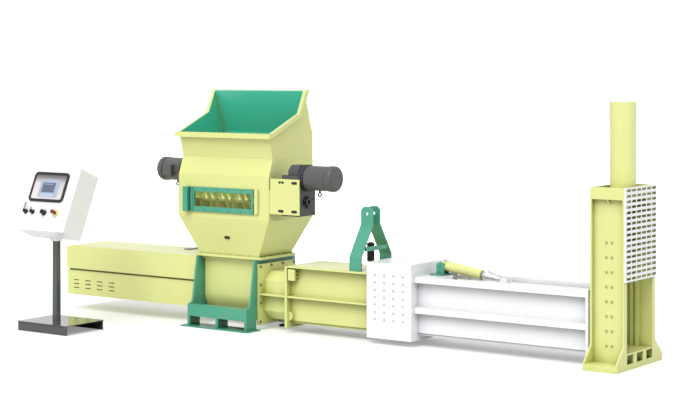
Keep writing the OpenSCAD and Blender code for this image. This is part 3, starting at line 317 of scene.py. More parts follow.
def clear_sheet(name):
    """Clear polycarbonate with a little dust."""
    finish = Finish(name)
    dust = finish.noise(18.0, 5.0, 0.7).step(0.45, 0.85)
    base = finish.mix(dust, (0.75, 0.8, 0.62, 1.0), (0.8, 0.8, 0.72, 1.0))
    finish.set(Base_Color=base, Roughness=0.08 + 0.3 * dust, Alpha=0.006 + 0.012 * dust)
    finish.set(Specular_IOR_Level=0.15)
    return finish.material


def screen_picture(name, low, high, tilt):
    """A switched-on control screen: pale field, window and rows of plain keys."""
    finish = Finish(name)
    x, y, z = finish.axes()
    up = y * math.sin(tilt) + z * math.cos(tilt)
    foot = low.y * math.sin(tilt) + low.z * math.cos(tilt)
    top = high.y * math.sin(tilt) + high.z * math.cos(tilt)
    u = (x - low.x) * (1.0 / (high.x - low.x))
    v = (up - foot) * (1.0 / (top - foot))

    def pane(x0, x1, y0, y1, soft=0.012):
        inside = u.step(x0 - soft, x0 + soft) * (1.0 - u.step(x1 - soft, x1 + soft))
        return inside * v.step(y0 - soft, y0 + soft) * (1.0 - v.step(y1 - soft, y1 + soft))

    # painted shade: the screen's field is lighter on the left and towards the bottom, and goes dark towards
    # the top
    base = finish.mix(u, (0.58, 0.53, 0.53, 1.0), (0.42, 0.40, 0.43, 1.0))
    base = finish.mix((1.0 - v) * 0.5, base, (0.85, 0.82, 0.80, 1.0))
    base = finish.mix(v.step(0.62, 0.98) * 0.9, base, (0.06, 0.06, 0.07, 1.0))
    base = finish.mix(pane(0.20, 0.83, 0.08, 0.80, 0.03), base, (0.34, 0.40, 0.54, 1.0))
    base = finish.mix(pane(0.28, 0.70, 0.28, 0.68), base, (0.085, 0.11, 0.17, 1.0))
    for i in range(5):
        key = pane(0.26 + i * 0.09, 0.33 + i * 0.09, 0.13, 0.22, 0.006)
        base = finish.mix(key, base, (0.50, 0.52, 0.66, 1.0))
    base = finish.mix(pane(0.32, 0.62, 0.60, 0.63, 0.005), base, (0.30, 0.36, 0.48, 1.0))
    finish.set(Base_Color=base, Roughness=0.08, Coat_Weight=0.6)
    finish.set(Emission_Color=base)
    finish.shader.inputs["Emission Strength"].default_value = 0.10
    return finish.material


def control_knob(name, tilt, middle):
    """Black switch, painted pale grey above its middle, measured up the tilted panel, as a highlight on its
    handle.
    """
    finish = Finish(name)
    rounded = finish.round_edges(0.001)[0]
    y, z = finish.axes()[1:]
    up = y * math.sin(tilt) + z * math.cos(tilt)
    grain = finish.noise(60.0, 3.0)
    head = finish.mix(grain, (0.012, 0.012, 0.013, 1.0), (0.022, 0.022, 0.024, 1.0))
    # painted highlight: the upper part of each switch is pale grey
    pale_highlight = finish.mix(grain, (0.30, 0.30, 0.31, 1.0), (0.42, 0.42, 0.43, 1.0))
    base = finish.mix(up.step(middle + 0.008, middle + 0.020), head, pale_highlight)
    normal = finish.bump(finish.noise(900.0, 2.0), 0.0002, 0.1, rounded)
    finish.set(Base_Color=base, Roughness=0.28 + 0.1 * (grain - 0.5), Normal=normal)
    return finish.material


# ---------------------------------------------------------------- mesh helpers


def place_piece(name, mesh, body):
    """Links a mesh as a piece of the object that rides on a body."""
    piece = bpy.data.objects.new(name, mesh)
    bpy.context.scene.collection.objects.link(piece)
    bpy.context.view_layer.update()
    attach(piece, body)
    return piece


def plain_mesh(name, tree, mesh, inputs):
    """Runs a geometry tree on a mesh and returns the result as a plain mesh."""
    carrier = bpy.data.objects.new(name + "_carrier", mesh)
    bpy.context.scene.collection.objects.link(carrier)
    modifier = carrier.modifiers.new("nodes", "NODES")
    modifier.node_group = tree
    for item in tree.interface.items_tree:
        if item.item_type == "SOCKET" and item.in_out == "INPUT" and item.name in inputs:
            modifier[item.identifier] = inputs[item.name]
    bpy.context.view_layer.update()
    graph = bpy.context.evaluated_depsgraph_get()
    result = bpy.data.meshes.new_from_object(carrier.evaluated_get(graph))
    result.name = name
    carrier.modifiers.remove(modifier)
    bpy.data.objects.remove(carrier)
    return result


def new_tree(name, inputs):
    """A geometry tree with a Geometry socket each way and the named inputs."""
    group = bpy.data.node_groups.new(name, "GeometryNodeTree")
    face = group.interface
    face.new_socket("Geometry", in_out="INPUT", socket_type="NodeSocketGeometry")
    for key, kind in inputs.items():
        face.new_socket(key, in_out="INPUT", socket_type="NodeSocket" + kind)
    face.new_socket("Geometry", in_out="OUTPUT", socket_type="NodeSocketGeometry")
    tree = Tree(group)
    source = group.nodes.new("NodeGroupInput")
    return tree, {s.name: Wire(tree, s) for s in source.outputs if s.name}


def end_tree(tree, geometry, material):
    """Realizes, paints and puts out the geometry."""
    real = tree.node("GeometryNodeRealizeInstances", None, {0: geometry})
    painted = tree.node("GeometryNodeSetMaterial", None, {"Geometry": real, "Material": material})
    out = tree.tree.nodes.new("NodeGroupOutput")
    tree.tree.links.new(painted.socket, out.inputs[0])
    return tree.tree


def bolt_tree():
    """Hexagon screws with a washer, one on each point, standing along its facing attribute."""
    tree, given = new_tree("hexagon_screws", {"Radius": "Float", "Height": "Float", "Material": "Material"})
    radius, height = given["Radius"], given["Height"]
    head = tree.node("GeometryNodeMeshCylinder", None, {"Vertices": 6, "Radius": radius, "Depth": height})
    crown = tree.node("GeometryNodeMeshCone", None, {
        "Vertices": 18, "Radius Top": radius * 0.62, "Radius Bottom": radius * 0.84,
        "Depth": height * 0.14})
    washer = tree.node("GeometryNodeMeshCylinder", None, {
        "Vertices": 20, "Radius": radius * 1.35, "Depth": height * 0.22})
    lift = tree.node("ShaderNodeCombineXYZ", None, {"Z": height * 0.62})
    lift_crown = tree.node("ShaderNodeCombineXYZ", None, {"Z": height * 1.12})
    lift_washer = tree.node("ShaderNodeCombineXYZ", None, {"Z": height * 0.10})
    parts = []
    for part, way in ((head, lift), (crown, lift_crown), (washer, lift_washer)):
        parts.append(tree.node("GeometryNodeTransform", None, {"Geometry": part, "Translation": way}))
    screw = tree.tree.nodes.new("GeometryNodeJoinGeometry")
    for part in parts:
        tree.tree.links.new(part.socket, screw.inputs[0])
    facing = tree.node(
        "GeometryNodeInputNamedAttribute", {"data_type": "FLOAT_VECTOR"}, {"Name": "facing"})
    turn = tree.node("FunctionNodeAlignRotationToVector", {"axis": "Z"}, {"Vector": facing})
    spin = tree.node("FunctionNodeRandomValue", {"data_type": "FLOAT"}, {2: 0.0, 3: 1.05, "Seed": 7}, 1)
    about = tree.node("ShaderNodeCombineXYZ", None, {"Z": spin})
    spun = tree.node("FunctionNodeRotateRotation", {"rotation_space": "LOCAL"}, {
        "Rotation": turn, "Rotate By": tree.node("FunctionNodeEulerToRotation", None, {0: about})})
    placed = tree.node("GeometryNodeInstanceOnPoints", None, {
        "Points": given["Geometry"], "Instance": Wire(tree, screw.outputs[0]), "Rotation": spun})
    return end_tree(tree, placed, given["Material"])


def louvre_tree():
    """Pressed louvre hoods, one over each point: a leaning plate that stands out at its foot."""
    kinds = {"Width": "Float", "Height": "Float", "Lean": "Float", "Material": "Material"}
    tree, given = new_tree("louvres", kinds)
    size = tree.node("ShaderNodeCombineXYZ", None, {"X": given["Width"], "Y": 0.0016, "Z": given["Height"]})
    plate = tree.node("GeometryNodeMeshCube", None, {"Size": size})
    lean = tree.node("ShaderNodeCombineXYZ", None, {"X": given["Lean"] * -1.0})
    leaning = tree.node("GeometryNodeTransform", None, {
        "Geometry": plate, "Rotation": tree.node("FunctionNodeEulerToRotation", None, {0: lean})})
    placed = tree.node("GeometryNodeInstanceOnPoints", None, {
        "Points": given["Geometry"], "Instance": leaning})
    return end_tree(tree, placed, given["Material"])


def bead_tree():
    """A weld bead along every edge chain: a rippled half-round run."""
    tree, given = new_tree("weld_beads", {"Radius": "Float", "Ripple": "Float", "Material": "Material"})
    curve = tree.node("GeometryNodeMeshToCurve", None, {0: given["Geometry"]})
    points = tree.node("GeometryNodeResampleCurve", {"mode": "LENGTH"}, {
        "Curve": curve, "Length": given["Ripple"]})
    wobble = tree.node("FunctionNodeRandomValue", {"data_type": "FLOAT"}, {2: 0.82, 3: 1.18, "Seed": 3}, 1)
    sized = tree.node("GeometryNodeSetCurveRadius", None, {"Curve": points, "Radius": wobble})
    ring = tree.node("GeometryNodeCurvePrimitiveCircle", {"mode": "RADIUS"}, {
        "Resolution": 6, "Radius": given["Radius"]})
    run = tree.node("GeometryNodeCurveToMesh", None, {
        "Curve": sized, "Profile Curve": ring, "Scale": wobble, "Fill Caps": True})
    smooth = tree.node("GeometryNodeSetShadeSmooth", None, {"Geometry": run})
    return end_tree(tree, smooth, given["Material"])


def points_mesh(name, rows):
    """Loose points, each with the way its screw stands."""
    mesh = bpy.data.meshes.new(name)
    mesh.from_pydata([p for p, way in rows], [], [])
    facing = mesh.attributes.new("facing", "FLOAT_VECTOR", "POINT")
    for i, (p, way) in enumerate(rows):
        facing.data[i].vector = way
    return mesh


def lines_mesh(name, runs):
    """Edge chains through the given points."""
    points, edges = [], []
    for run in runs:
        start = len(points)
        points += [tuple(p) for p in run]
        edges += [(start + i, start + i + 1) for i in range(len(run) - 1)]
    mesh = bpy.data.meshes.new(name)
    mesh.from_pydata(points, edges, [])
    return mesh


def turned(profile, segments=40):
    """A closed solid of revolution about +Z from (radius, height) pairs, bottom first."""
    work = bmesh.new()
    rings = []
    for radius, height in profile:
        rings.append([
            work.verts.new((
                radius * math.cos(2 * math.pi * i / segments),
                radius * math.sin(2 * math.pi * i / segments),
                height,
            ))
            for i in range(segments)
        ])
    for lower, upper in zip(rings, rings[1:]):
        for i in range(segments):
            j = (i + 1) % segments
            work.faces.new((lower[i], lower[j], upper[j], upper[i]))
    work.faces.new(list(reversed(rings[0])))
    work.faces.new(rings[-1])
    bmesh.ops.recalc_face_normals(work, faces=work.faces)
    return work


def finished(work, name, place, material, smooth=True):
    """Moves the built solid into place and turns it into a mesh."""
    bmesh.ops.transform(work, matrix=place, verts=work.verts)
    mesh = bpy.data.meshes.new(name)
    work.to_mesh(mesh)
    work.free()
    mesh.materials.append(material)
    if smooth:
        mesh.shade_smooth()
        mesh.set_sharp_from_angle(angle=math.radians(35))
    return mesh


def seal(work, middle, length, width, depth):
    """Adds a flat plate with round ends, its face looking along Y."""
    r = width / 2
    rim = []
    for end in (1, -1):
        for k in range(9):
            a = math.radians(-90 + 22.5 * k)
            rim.append((end * (length / 2 - r + r * math.cos(a)), end * r * math.sin(a)))
    faces = []
    for way in (-0.5, 0.5):
        faces.append([work.verts.new(middle + Vector((x, way * depth, z))) for x, z in rim])
    front, back = faces
    work.faces.new(front)
    work.faces.new(list(reversed(back)))
    for i in range(len(rim)):
        j = (i + 1) % len(rim)
        work.faces.new((front[i], back[i], back[j], front[j]))
    bmesh.ops.recalc_face_normals(work, faces=work.faces)


def add_block(work, middle, size):
    """Adds a block by its middle and its size."""
    sized = Matrix.Translation(middle) @ Matrix.Diagonal((*size, 1.0))
    bmesh.ops.create_cube(work, size=1.0, matrix=sized)


def rotor_axis_z():
    """Height of the middle of the toothed rotors."""
    low, high = span("rotor_front")
    return (low.z + high.z) / 2


# ---------------------------------------------------------------- settings


class CompactorPaint(bpy.types.PropertyGroup):
    """Colours of the paints."""

    body: bpy.props.FloatVectorProperty(
        name="Body paint", description="Pale yellow of the crusher, housing and tower",
        subtype="COLOR", default=(0.75, 0.78, 0.29), min=0.0, max=1.0)
    frame: bpy.props.FloatVectorProperty(
        name="Frame paint", description="Green of the stand, the window door and the press frame",
        subtype="COLOR", default=(0.069, 0.365, 0.238), min=0.0, max=1.0)
    lining: bpy.props.FloatVectorProperty(
        name="Hopper lining", description="Green of the hopper's inner faces",
        subtype="COLOR", default=(0.07, 0.60, 0.42), min=0.0, max=1.0)
    press: bpy.props.FloatVectorProperty(
        name="Press paint", description="White of the jaw, brake channel and console",
        subtype="COLOR", default=(0.91, 0.92, 0.935), min=0.0, max=1.0)
    drive: bpy.props.FloatVectorProperty(
        name="Drive paint", description="Grey of the gearboxes and motors",
        subtype="COLOR", default=(0.09, 0.092, 0.094), min=0.0, max=1.0)


class CompactorSizes(bpy.types.PropertyGroup):
    """Sizes of the fasteners and welds."""

    screw_radius: bpy.props.FloatProperty(
        name="Screw radius", description="Radius of a screw's head", default=0.010, min=0.004, max=0.02,
        unit="LENGTH")
    screw_height: bpy.props.FloatProperty(
        name="Screw height", description="Height of a screw's head", default=0.007, min=0.003, max=0.02,
        unit="LENGTH")
    bead_radius: bpy.props.FloatProperty(
        name="Bead radius", description="Radius of a weld bead", default=0.0035, min=0.001, max=0.01,
        unit="LENGTH")
    bead_ripple: bpy.props.FloatProperty(
        name="Bead ripple", description="Length of one ripple in a weld bead", default=0.012, min=0.004,
        max=0.05, unit="LENGTH")


class CompactorStage(bpy.types.PropertyGroup):
    """The floor and the light."""

    floor: bpy.props.FloatProperty(
        name="Floor whiteness", description="Brightness of the floor's colour", default=0.86,
        min=0.2, max=1.0)
    world: bpy.props.FloatProperty(
        name="Room light", description="Strength of the light from all round", default=0.58,
        min=0.0, max=3.0)
    glow: bpy.props.FloatProperty(
        name="Floor glow", description="Light the floor adds near the machine", default=0.25,
        min=0.0, max=1.0)
    key: bpy.props.FloatProperty(
        name="Key light", description="Strength of the soft light from above the operator's side",
        default=2.0, min=0.0, max=20.0)
    side: bpy.props.FloatProperty(
        name="Side light", description="Strength of the soft light from the tower's end", default=0.22,
        min=0.0, max=20.0)


# ---------------------------------------------------------------- operators


def paints():
    return bpy.context.scene.compactor_paint


def sizes():
    return bpy.context.scene.compactor_sizes


def material(name):
    """A finish made earlier by the finishes operator."""
    return bpy.data.materials[name]


class COMPACTOR_OT_stage(bpy.types.Operator):
    """Floor, lights, room and camera"""

    bl_idname = "compactor.stage"
    bl_label = "Set the stage"

    def execute(self, context):
        scene = context.scene
        given = scene.compactor_stage
        scene.view_settings.view_transform = "Standard"

        camera = bpy.data.objects.new("camera", bpy.data.cameras.new("camera"))
        camera.data.sensor_width = 36.0
        camera.data.lens = 90.62
        camera.data.shift_y = -0.2062
        camera.data.clip_end = 200.0
        camera.location = (10.345, -12.945, 2.461)
        camera.rotation_euler = (math.radians(90.0), 0.0, math.radians(35.476))
        scene.collection.objects.link(camera)
        scene.camera = camera

        world = bpy.data.worlds.new("room")
        world.use_nodes = True
        room = Tree(world.node_tree)
        room.tree.nodes.clear()
        path = room.tree.nodes.new("ShaderNodeLightPath")
        kinds = ("Is Camera Ray", "Is Transmission Ray", "Is Glossy Ray")
        camera_ray, clear_ray, gloss_ray = (Wire(room, path.outputs[kind]) for kind in kinds)
        seen = camera_ray.most(clear_ray).most(gloss_ray)
        strength = seen * (1.0 - given.world) + given.world
        light = room.node("ShaderNodeBackground", None, {"Color": (1, 1, 1, 1), "Strength": strength})
        end = room.tree.nodes.new("ShaderNodeOutputWorld")
        room.tree.links.new(light.socket, end.inputs["Surface"])
        scene.world = world

        floor = bpy.data.meshes.new("floor")
        r = 60.0
        floor.from_pydata([(-r, -r, 0), (r, -r, 0), (r, r, 0), (-r, r, 0)], [], [(0, 1, 2, 3)])
        floor_object = bpy.data.objects.new("floor", floor)
        finish = Finish("floor_paint")
        level = given.floor
        cool, even = (level * 0.99, level * 0.99, level, 1.0), (level, level, level, 1.0)
        base = finish.mix(finish.noise(0.6, 2.0), cool, even)
        x, y = finish.axes()[:2]
        away = (abs(x - 1.0) - 3.2).most(abs(y + 0.5) - 1.0).step(0.3, 4.0)
        path = finish.tree.nodes.new("ShaderNodeLightPath")
        glow = Wire(finish, path.outputs["Is Camera Ray"]) * (given.glow + (1.0 - given.glow) * away)
        white = finish.node("ShaderNodeCombineXYZ", None, {"X": glow, "Y": glow, "Z": glow})
        finish.set(Base_Color=base, Roughness=0.6, Emission_Color=white, Emission_Strength=1.0)
        floor.materials.append(finish.material)
        scene.collection.objects.link(floor_object)

        lamps = (
            ("key", (0.12, -0.60, 0.79), 40.0, given.key),
            ("side", (0.90, -0.25, 0.35), 60.0, given.side),
        )
        for name, way, softness, power in lamps:
            data = bpy.data.lights.new(name, "SUN")
            data.angle = math.radians(softness)
            data.energy = power
            lamp = bpy.data.objects.new(name, data)
            lamp.location = Vector(way) * 12.0
            lamp.rotation_euler = Vector(way).to_track_quat("Z", "Y").to_euler()
            scene.collection.objects.link(lamp)
        return {"FINISHED"}


class COMPACTOR_OT_finishes(bpy.types.Operator):
    """Makes every finish and puts it on the frame's own pieces"""

    bl_idname = "compactor.finishes"
    bl_label = "Paint the frame"

    def execute(self, context):
        given = paints()
        body, green, white, grey = given.body, given.frame, given.press, given.drive
        dark_cap, bolt_brown, bolt_olive = (0.02, 0.02, 0.022), (0.16, 0.14, 0.05), (0.42, 0.42, 0.16)
        post_grey, pole_grey = (0.19, 0.20, 0.21), (0.08, 0.085, 0.087)
        matt = {"roughness": 0.4, "wear": 0.15, "dirt": 0.06}

        yellow = powder_coat("body_paint", body)
        # painted shade: the hopper's paint has its green lining and a lighter painted corner shade than the
        # body paint
        lined = powder_coat("lined_hopper_paint", body, lining=given.lining, recess=0.5)
        # painted shade: the crusher box's copy of the body paint spreads its painted corner shade far, so
        # the neck darkens under the hopper's overhang
        neck = powder_coat("crusher_paint", body, reach=0.5, recess=0.6)
        frame_green = powder_coat("frame_paint", green, wear=0.3)
        press_white = powder_coat("press_paint", white, recess=0.25, **matt)
        jaw_screw = cast_metal("jaw_screw_paint", (0.55, 0.56, 0.58), 0.4)
        # painted shade: the trough and tray copy of the body paint has little painted corner shade, so they
        # stay lighter
        lit = powder_coat("trough_paint", body, recess=0.25)
        # painted shade: the end flange's copy of the white paint has almost no painted corner shade
        flange_white = powder_coat("flange_white", white, recess=0.1, **matt)
        tower = powder_coat("tower_paint", body, recess=0.85)
        # painted shade: the channel's copy of the body paint has the darkest and widest painted corner
        # shade, under its ribs
        sided = powder_coat("channel_paint", body, recess=1.0, reach=0.26)

        def ends(x, z=0.0):
            """Dark zones past x, on the +X and on the -X side."""
            return [((x, -FAR, z), (FAR, FAR, FAR), dark_cap), ((-FAR, -FAR, z), (-x, FAR, FAR), dark_cap)]

        side_x = span("hopper")[1].x + 0.001
        # painted light: the rotors carry the body's yellow made 1.2 times lighter, with almost no corner
        # shade, standing for light inside the closed crusher box
        rotor = powder_coat("rotor_paint", [min(1.0, c * 1.2) for c in body], wear=0.5, dirt=0.0,
                            recess=0.05, zones=ends(side_x))
        block_x = span("gearbox_right")[1].x - GEARBOX_BOSS
        top_z = rotor_axis_z() + DRIVE_ABOVE_ROTOR
        drive = cast_metal("drive_paint", [c * 0.78 for c in grey],
                           zones=ends(block_x + 0.0005) + ends(block_x - 0.020, top_z))
        low, high = span("flange_plate")
        bolted = powder_coat("flange_paint", body, zones=[
            ((high.x - 0.0105, low.y, low.z), (high.x + 0.01, high.y, high.z), bolt_brown)])
        low, high = span("guide_rails")
        railed = powder_coat("rail_paint", body, zones=[
            ((low.x, low.y - 0.01, low.z), (high.x, low.y + 0.0085, high.z), bolt_olive),
            ((low.x, high.y - 0.0085, low.z), (high.x, high.y + 0.01, high.z), bolt_olive)])
        low, high = span("housing_cover")
        covered = powder_coat("cover_paint", body, zones=[
            ((low.x, low.y, high.z - 0.0075), (high.x, high.y, high.z + 0.01), dark_cap)])
        low, high = span("sensor_box")
        boxed = powder_coat("sensor_paint", body, zones=[
            ((high.x - 0.0068, low.y, 0.49), (high.x + 0.01, high.y, 0.61), dark_cap)])
        post_low, post_high, cap_z = BRAKE_POST
        # painted shade: the brake channel's white has a darker, wider painted corner shade under its ribs;
        # the grey post and dark cap are its own colours
        posted = powder_coat("brake_paint", white, recess=1.0, reach=0.2, **matt, zones=[
            (post_low, post_high, post_grey),
            ((*post_low[:2], post_high[2]), (*post_high[:2], cap_z), dark_cap)])
        low, high = span("console_pole")
        capped = powder_coat("pole_paint", white, roughness=0.12, recess=0.2, wear=0.15, dirt=0.06, zones=[
            (low - Vector((1, 1, 1)), (high.x + 1, high.y + 1, 0.8335), pole_grey),
            ((low.x - 1, low.y - 1, 0.8335), (high.x + 1, high.y + 1, 0.8405), dark_cap)])
        motor = cast_metal("motor_paint", grey, 0.4)
        dark = plastic("dark_plastic", (0.007, 0.007, 0.008), 0.5)
        steel = bright_steel("ground_steel", (0.56, 0.57, 0.58))
        chrome = bright_steel("rod_chrome", (0.70, 0.71, 0.73), 0.12)
        rubber = plastic("black_rubber", (0.018, 0.018, 0.018), 0.7, 0.5)
        # painted shade: the dark olive is the body paint as it looks in the shaded groove of the housing's
        # seam
        plastic("seam_strip", (0.22, 0.225, 0.06), 0.6)
        red = plastic("button_red", (0.20, 0.012, 0.008), 0.25)
        ring = plastic("ring_yellow", (0.80, 0.78, 0.30), 0.3)
        foot = powder_coat("console_grey", (0.075, 0.08, 0.082), roughness=0.07, wear=0.2, dirt=0.04)
        cast_metal("black_screws", (0.05, 0.05, 0.05), 0.4)
        pane = clear_sheet("clear_pane")
        low, high = span("screen_glass")
        screen = screen_picture("screen_picture", low, high, PANEL_TILT)
        low, high = span("stop_ring")
        middle = (low + high) / 2
        middle_up = middle.y * math.sin(PANEL_TILT) + middle.z * math.cos(PANEL_TILT)
        knob = control_knob("switch_knob", PANEL_TILT, middle_up)

        groups = (
            (lined, "hopper"),
            (frame_green, "stand_plates foot_beams foot_plates window_hinge window_door"),
            (frame_green, "press_frame clamp_bracket"),
            (press_white, "jaw_housing brake_flap mesh_guard console_box"),
            (bolted, "flange_plate"),
            (railed, "guide_rails"),
            (covered, "housing_cover"),
            (boxed, "sensor_box"),
            (posted, "brake_channel"),
            (capped, "console_pole"),
            (drive, "gearbox_right gearbox_left"),
            (motor, "motor_right motor_left fan_cowl_right fan_cowl_left"),
            (drive, "end_bearings main_cylinder"),
            (foot, "console_foot"),
            (dark, "screen_bezel"),
            (knob, "selector_1 selector_2 selector_3"),
            (jaw_screw, "jaw_bolts"),
            (rotor, "rotor_front rotor_rear"),
            (lit, "press_trough housing_tray"),
            (neck, "crusher_box"),
            (sided, "channel"),
            (flange_white, "end_flange"),
            (tower, "portal_plate_in portal_plate_out tower_sides tower_beam"),
            (steel, "knife_carriage"),
            (chrome, "main_ram clamp_rod"),
            (rubber, "neck_foot press_stem"),
            (red, "stop_button"),
            (ring, "stop_ring"),
            (pane, "window_pane"),
            (screen, "screen_glass"),
        )
        named = {}
        for paint, names in groups:
            for name in names.split():
                named[name] = paint
        for name, piece in NODES.items():
            piece.data.materials.clear()
            piece.data.materials.append(named.get(name, yellow))
        return {"FINISHED"}


class COMPACTOR_OT_screws(bpy.types.Operator):
    """Hexagon screws on the window door and on the funnel's flange"""

    bl_idname = "compactor.screws"
    bl_label = "Fit the screws"

    def execute(self, context):
        given = sizes()
        tree = bolt_tree()
        front, up = (0, -1, 0), (0, 0, 1)

        door_low, door_high = span("window_door")
        door = [
            ((x, WINDOW_FACE_Y, z), front)
            for x in WINDOW_SCREWS_X
            for z in (door_low.z + 0.019, door_high.z - 0.015)
        ]

        top = span("funnel")[0].z + 0.025
        edge_x, edge_y = FLANGE_EDGE
        flange = [((-0.36 + i * 0.12, side * edge_y, top), up) for i in range(7) for side in (-1, 1)]
        flange += [((side * edge_x, -0.16 + i * 0.107, top), up) for i in range(4) for side in (-1, 1)]

        sets = (
            ("window_screws", door, 0.62, "frame_paint", "door", "green_paint"),
            ("flange_screws", flange, 1.1, "body_paint", "line", "yellow_paint"),
        )
        for name, rows, scale, paint, body, slot in sets:
            mesh = plain_mesh(name, tree, points_mesh(name, rows), {
                "Radius": given.screw_radius * scale, "Height": given.screw_height * scale,
                "Material": material(paint)})
            place_piece(name, mesh, body)
        return {"FINISHED"}


class COMPACTOR_OT_drive_details(bpy.types.Operator):
    """Cover screws on the gearboxes"""

    bl_idname = "compactor.drive_details"
    bl_label = "Detail the drives"

    def execute(self, context):
        axis_z = rotor_axis_z()
        rows = []
        for side in (1, -1):
            for i in range(6):
                a = math.radians(30 + i * 60)
                y, z = 0.054 * math.cos(a), 0.054 * math.sin(a)
                rows.append(((side * 0.893, side * (ROTOR_Y + y), axis_z + z), (side, 0, 0)))
            for y in (-0.105, 0.105):
                for z in (-0.105, 0.02):
                    rows.append(((side * 0.885, side * (ROTOR_Y + y), axis_z + z), (side, 0, 0)))
        name = "gearbox_screws"
        mesh = plain_mesh(name, bolt_tree(), points_mesh(name, rows), {
            "Radius": 0.007, "Height": 0.006, "Material": material("black_screws")})
        place_piece(name, mesh, "line")
        return {"FINISHED"}


class COMPACTOR_OT_slot_seals(bpy.types.Operator):
    """Rubber seals in the slots of the torque plates and the funnel"""

    bl_idname = "compactor.slot_seals"
    bl_label = "Press in the slot seals"

    def execute(self, context):
        plate_low, plate_high = span("torque_plates")
        gear_high = span("gearbox_right")[1].x - GEARBOX_BOSS
        gear_low = gear_high - GEARBOX_LENGTH
        axis = rotor_axis_z()
        funnel_low, funnel_high = span("funnel")
        long, short = (0.066, 0.022), (0.020, 0.0195)
        slots = (
            (gear_low - 0.002, -0.084, long),
            (gear_high - 0.042, -0.084, long),
            (gear_high - 0.042, 0.180, long),
            (gear_low - 0.016, 0.180, short),
            (gear_low + 0.022, 0.180, short),
        )
        work = bmesh.new()
        for side in (1, -1):
            face = plate_low.y if side > 0 else plate_high.y
            for x, z, (length, width) in slots:
                seal(work, Vector((side * x, face + side * 0.001, axis + z)), length, width, side * 0.004)
        foot_y, foot_z = FUNNEL_FOOT
        up = 0.171
        out = (funnel_low.y - foot_y) * up / (funnel_high.z - foot_z)
        seal(work, Vector((0.013, foot_y + out - 0.001, foot_z + up)), 0.066, 0.026, 0.009)
        mesh = finished(work, "slot_seals", Matrix(), material("black_rubber"))
        place_piece("slot_seals", mesh, "line")
        return {"FINISHED"}


class COMPACTOR_OT_housing_details(bpy.types.Operator):
    """Louvre hoods on the ram housing's tray, and in its seam a dark olive strip that paints the groove's
    shade
    """

    bl_idname = "compactor.housing_details"
    bl_label = "Detail the ram housing"

    def execute(self, context):
        low, high = span("housing_tray")
        rows = [
            ((low.x + 0.122 + i * 0.162, low.y - 0.0020, low.z + 0.0785 + k * 0.039), (0, -1, 0))
            for i in range(4) for k in range(3)
        ]
        name = "louvre_hoods"
        mesh = plain_mesh(name, louvre_tree(), points_mesh(name, rows), {
            "Width": 0.076, "Height": 0.008, "Lean": 0.42, "Material": material("body_paint")})
        place_piece(name, mesh, "line")

        # painted shade: a dark olive strip in the groove between tray and cover stands for the shade under
        # the cover's overhang
        seam = bmesh.new()
        cover = span("housing_cover")[0].z
        inset, thick, height, length = 0.019, 0.010, 0.018, 1.640
        middle_x, middle_z = low.x + 0.020 + length / 2, cover - 0.010
        add_block(seam, (low.x + inset, 0.0, middle_z), (thick, high.y - low.y - 0.024, height))
        for y in (low.y + inset, high.y - inset):
            add_block(seam, (middle_x, y, middle_z), (length, thick, height))
        mesh = finished(seam, "seam_shade_band", Matrix(), material("seam_strip"), False)
        place_piece("seam_shade_band", mesh, "line")
        return {"FINISHED"}


class COMPACTOR_OT_foot_liner(bpy.types.Operator):
    """Sheet that closes the tower's foot behind its pockets"""

    bl_idname = "compactor.foot_liner"
    bl_label = "Close the tower's foot"

    def execute(self, context):
        liner = bmesh.new()
        add_block(liner, (span("portal_plate_out")[0].x - 0.050, 0.0, 0.062), (0.003, 0.478, 0.120))
        bmesh.ops.bevel(liner, geom=liner.edges[:], offset=0.001, segments=1, affect="EDGES")
        mesh = finished(liner, "foot_liner", Matrix(), material("tower_paint"), False)
        place_piece("foot_liner", mesh, "line")
        return {"FINISHED"}


class COMPACTOR_OT_bellows(bpy.types.Operator):
    """Rubber bellows round the stem in the press frame"""

    bl_idname = "compactor.bellows"
    bl_label = "Slip on the bellows"

    def execute(self, context):
        low, high = span("press_stem")
        middle = (low + high) / 2
        top = high.z - 0.012
        foot = top - 0.160
        folds = 10
        step = (top - foot) / folds
        end, valley, crest = 0.024, 0.029, 0.0355
        profile = [(end, foot - 0.004)]
        for i in range(folds):
            at = foot + i * step
            profile += [(valley, at), (crest, at + step * 0.42), (crest, at + step * 0.58)]
        profile += [(valley, top), (end, top + 0.004)]
        place = Matrix.Translation((middle.x, middle.y, 0.0))
        mesh = finished(turned(profile), "press_bellows", place, material("black_rubber"))
        place_piece("press_bellows", mesh, "press")
        return {"FINISHED"}


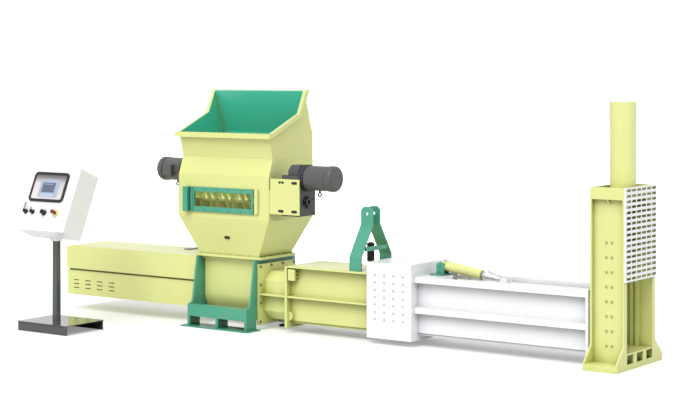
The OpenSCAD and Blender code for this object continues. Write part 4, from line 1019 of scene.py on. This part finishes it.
class COMPACTOR_OT_welds(bpy.types.Operator):
    """Weld beads where ribs, plates and sheets meet"""

    bl_idname = "compactor.welds"
    bl_label = "Run the welds"

    def execute(self, context):
        given = sizes()
        tree = bead_tree()

        def along(node, heights):
            """Runs along both side walls of a channel."""
            low, high = span(node)
            return [
                [(low.x + 0.002, side * CHANNEL_WALL_Y, z), (high.x - 0.002, side * CHANNEL_WALL_Y, z)]
                for side in (-1, 1) for z in heights
            ]

        channel = along("channel", CHANNEL_RIBS)
        brake = along("brake_channel", BRAKE_RIBS)
        foot, top = span("funnel")[1].z, span("crusher_box")[1].z
        corner_x, corner_y = CRUSHER_CORNER
        crusher = [
            [(x, y, foot), (x, y, top - (CRUSHER_STEP if y < 0 else 0.0))]
            for x in (-corner_x, corner_x) for y in (-corner_y, corner_y)
        ]
        sets = (
            ("channel_welds", channel, "body_paint", "yellow_paint"),
            ("brake_welds", brake, "press_paint", "white_paint"),
            ("crusher_welds", crusher, "body_paint", "yellow_paint"),
        )
        for name, runs, paint, slot in sets:
            mesh = plain_mesh(name, tree, lines_mesh(name, runs), {
                "Radius": given.bead_radius, "Ripple": given.bead_ripple, "Material": material(paint)})
            place_piece(name, mesh, "line")
        return {"FINISHED"}


PIECES = (
    COMPACTOR_OT_stage,
    COMPACTOR_OT_finishes,
    COMPACTOR_OT_screws,
    COMPACTOR_OT_drive_details,
    COMPACTOR_OT_slot_seals,
    COMPACTOR_OT_housing_details,
    COMPACTOR_OT_foot_liner,
    COMPACTOR_OT_bellows,
    COMPACTOR_OT_welds,
)
GROUPS = (CompactorPaint, CompactorSizes, CompactorStage)


class COMPACTOR_PT_panel(bpy.types.Panel):
    """Lists the pieces of the compactor line"""

    bl_label = "Compactor"
    bl_idname = "COMPACTOR_PT_panel"
    bl_space_type = "VIEW_3D"
    bl_region_type = "UI"
    bl_category = "Compactor"

    def draw(self, context):
        scene = context.scene
        for group in (scene.compactor_paint, scene.compactor_sizes, scene.compactor_stage):
            for key in group.__annotations__:
                self.layout.prop(group, key)
        for piece in PIECES:
            self.layout.operator(piece.bl_idname)


def register():
    for cls in GROUPS + PIECES + (COMPACTOR_PT_panel,):
        bpy.utils.register_class(cls)
    bpy.types.Scene.compactor_paint = bpy.props.PointerProperty(type=CompactorPaint)
    bpy.types.Scene.compactor_sizes = bpy.props.PointerProperty(type=CompactorSizes)
    bpy.types.Scene.compactor_stage = bpy.props.PointerProperty(type=CompactorStage)


def unregister():
    del bpy.types.Scene.compactor_stage
    del bpy.types.Scene.compactor_sizes
    del bpy.types.Scene.compactor_paint
    for cls in (COMPACTOR_PT_panel,) + PIECES[::-1] + GROUPS[::-1]:
        bpy.utils.unregister_class(cls)


def main():
    register()
    bpy.ops.compactor.stage()
    bpy.ops.compactor.finishes()
    bpy.ops.compactor.screws()
    bpy.ops.compactor.drive_details()
    bpy.ops.compactor.slot_seals()
    bpy.ops.compactor.housing_details()
    bpy.ops.compactor.foot_liner()
    bpy.ops.compactor.bellows()
    bpy.ops.compactor.welds()


if __name__ == "__main__":
    main()
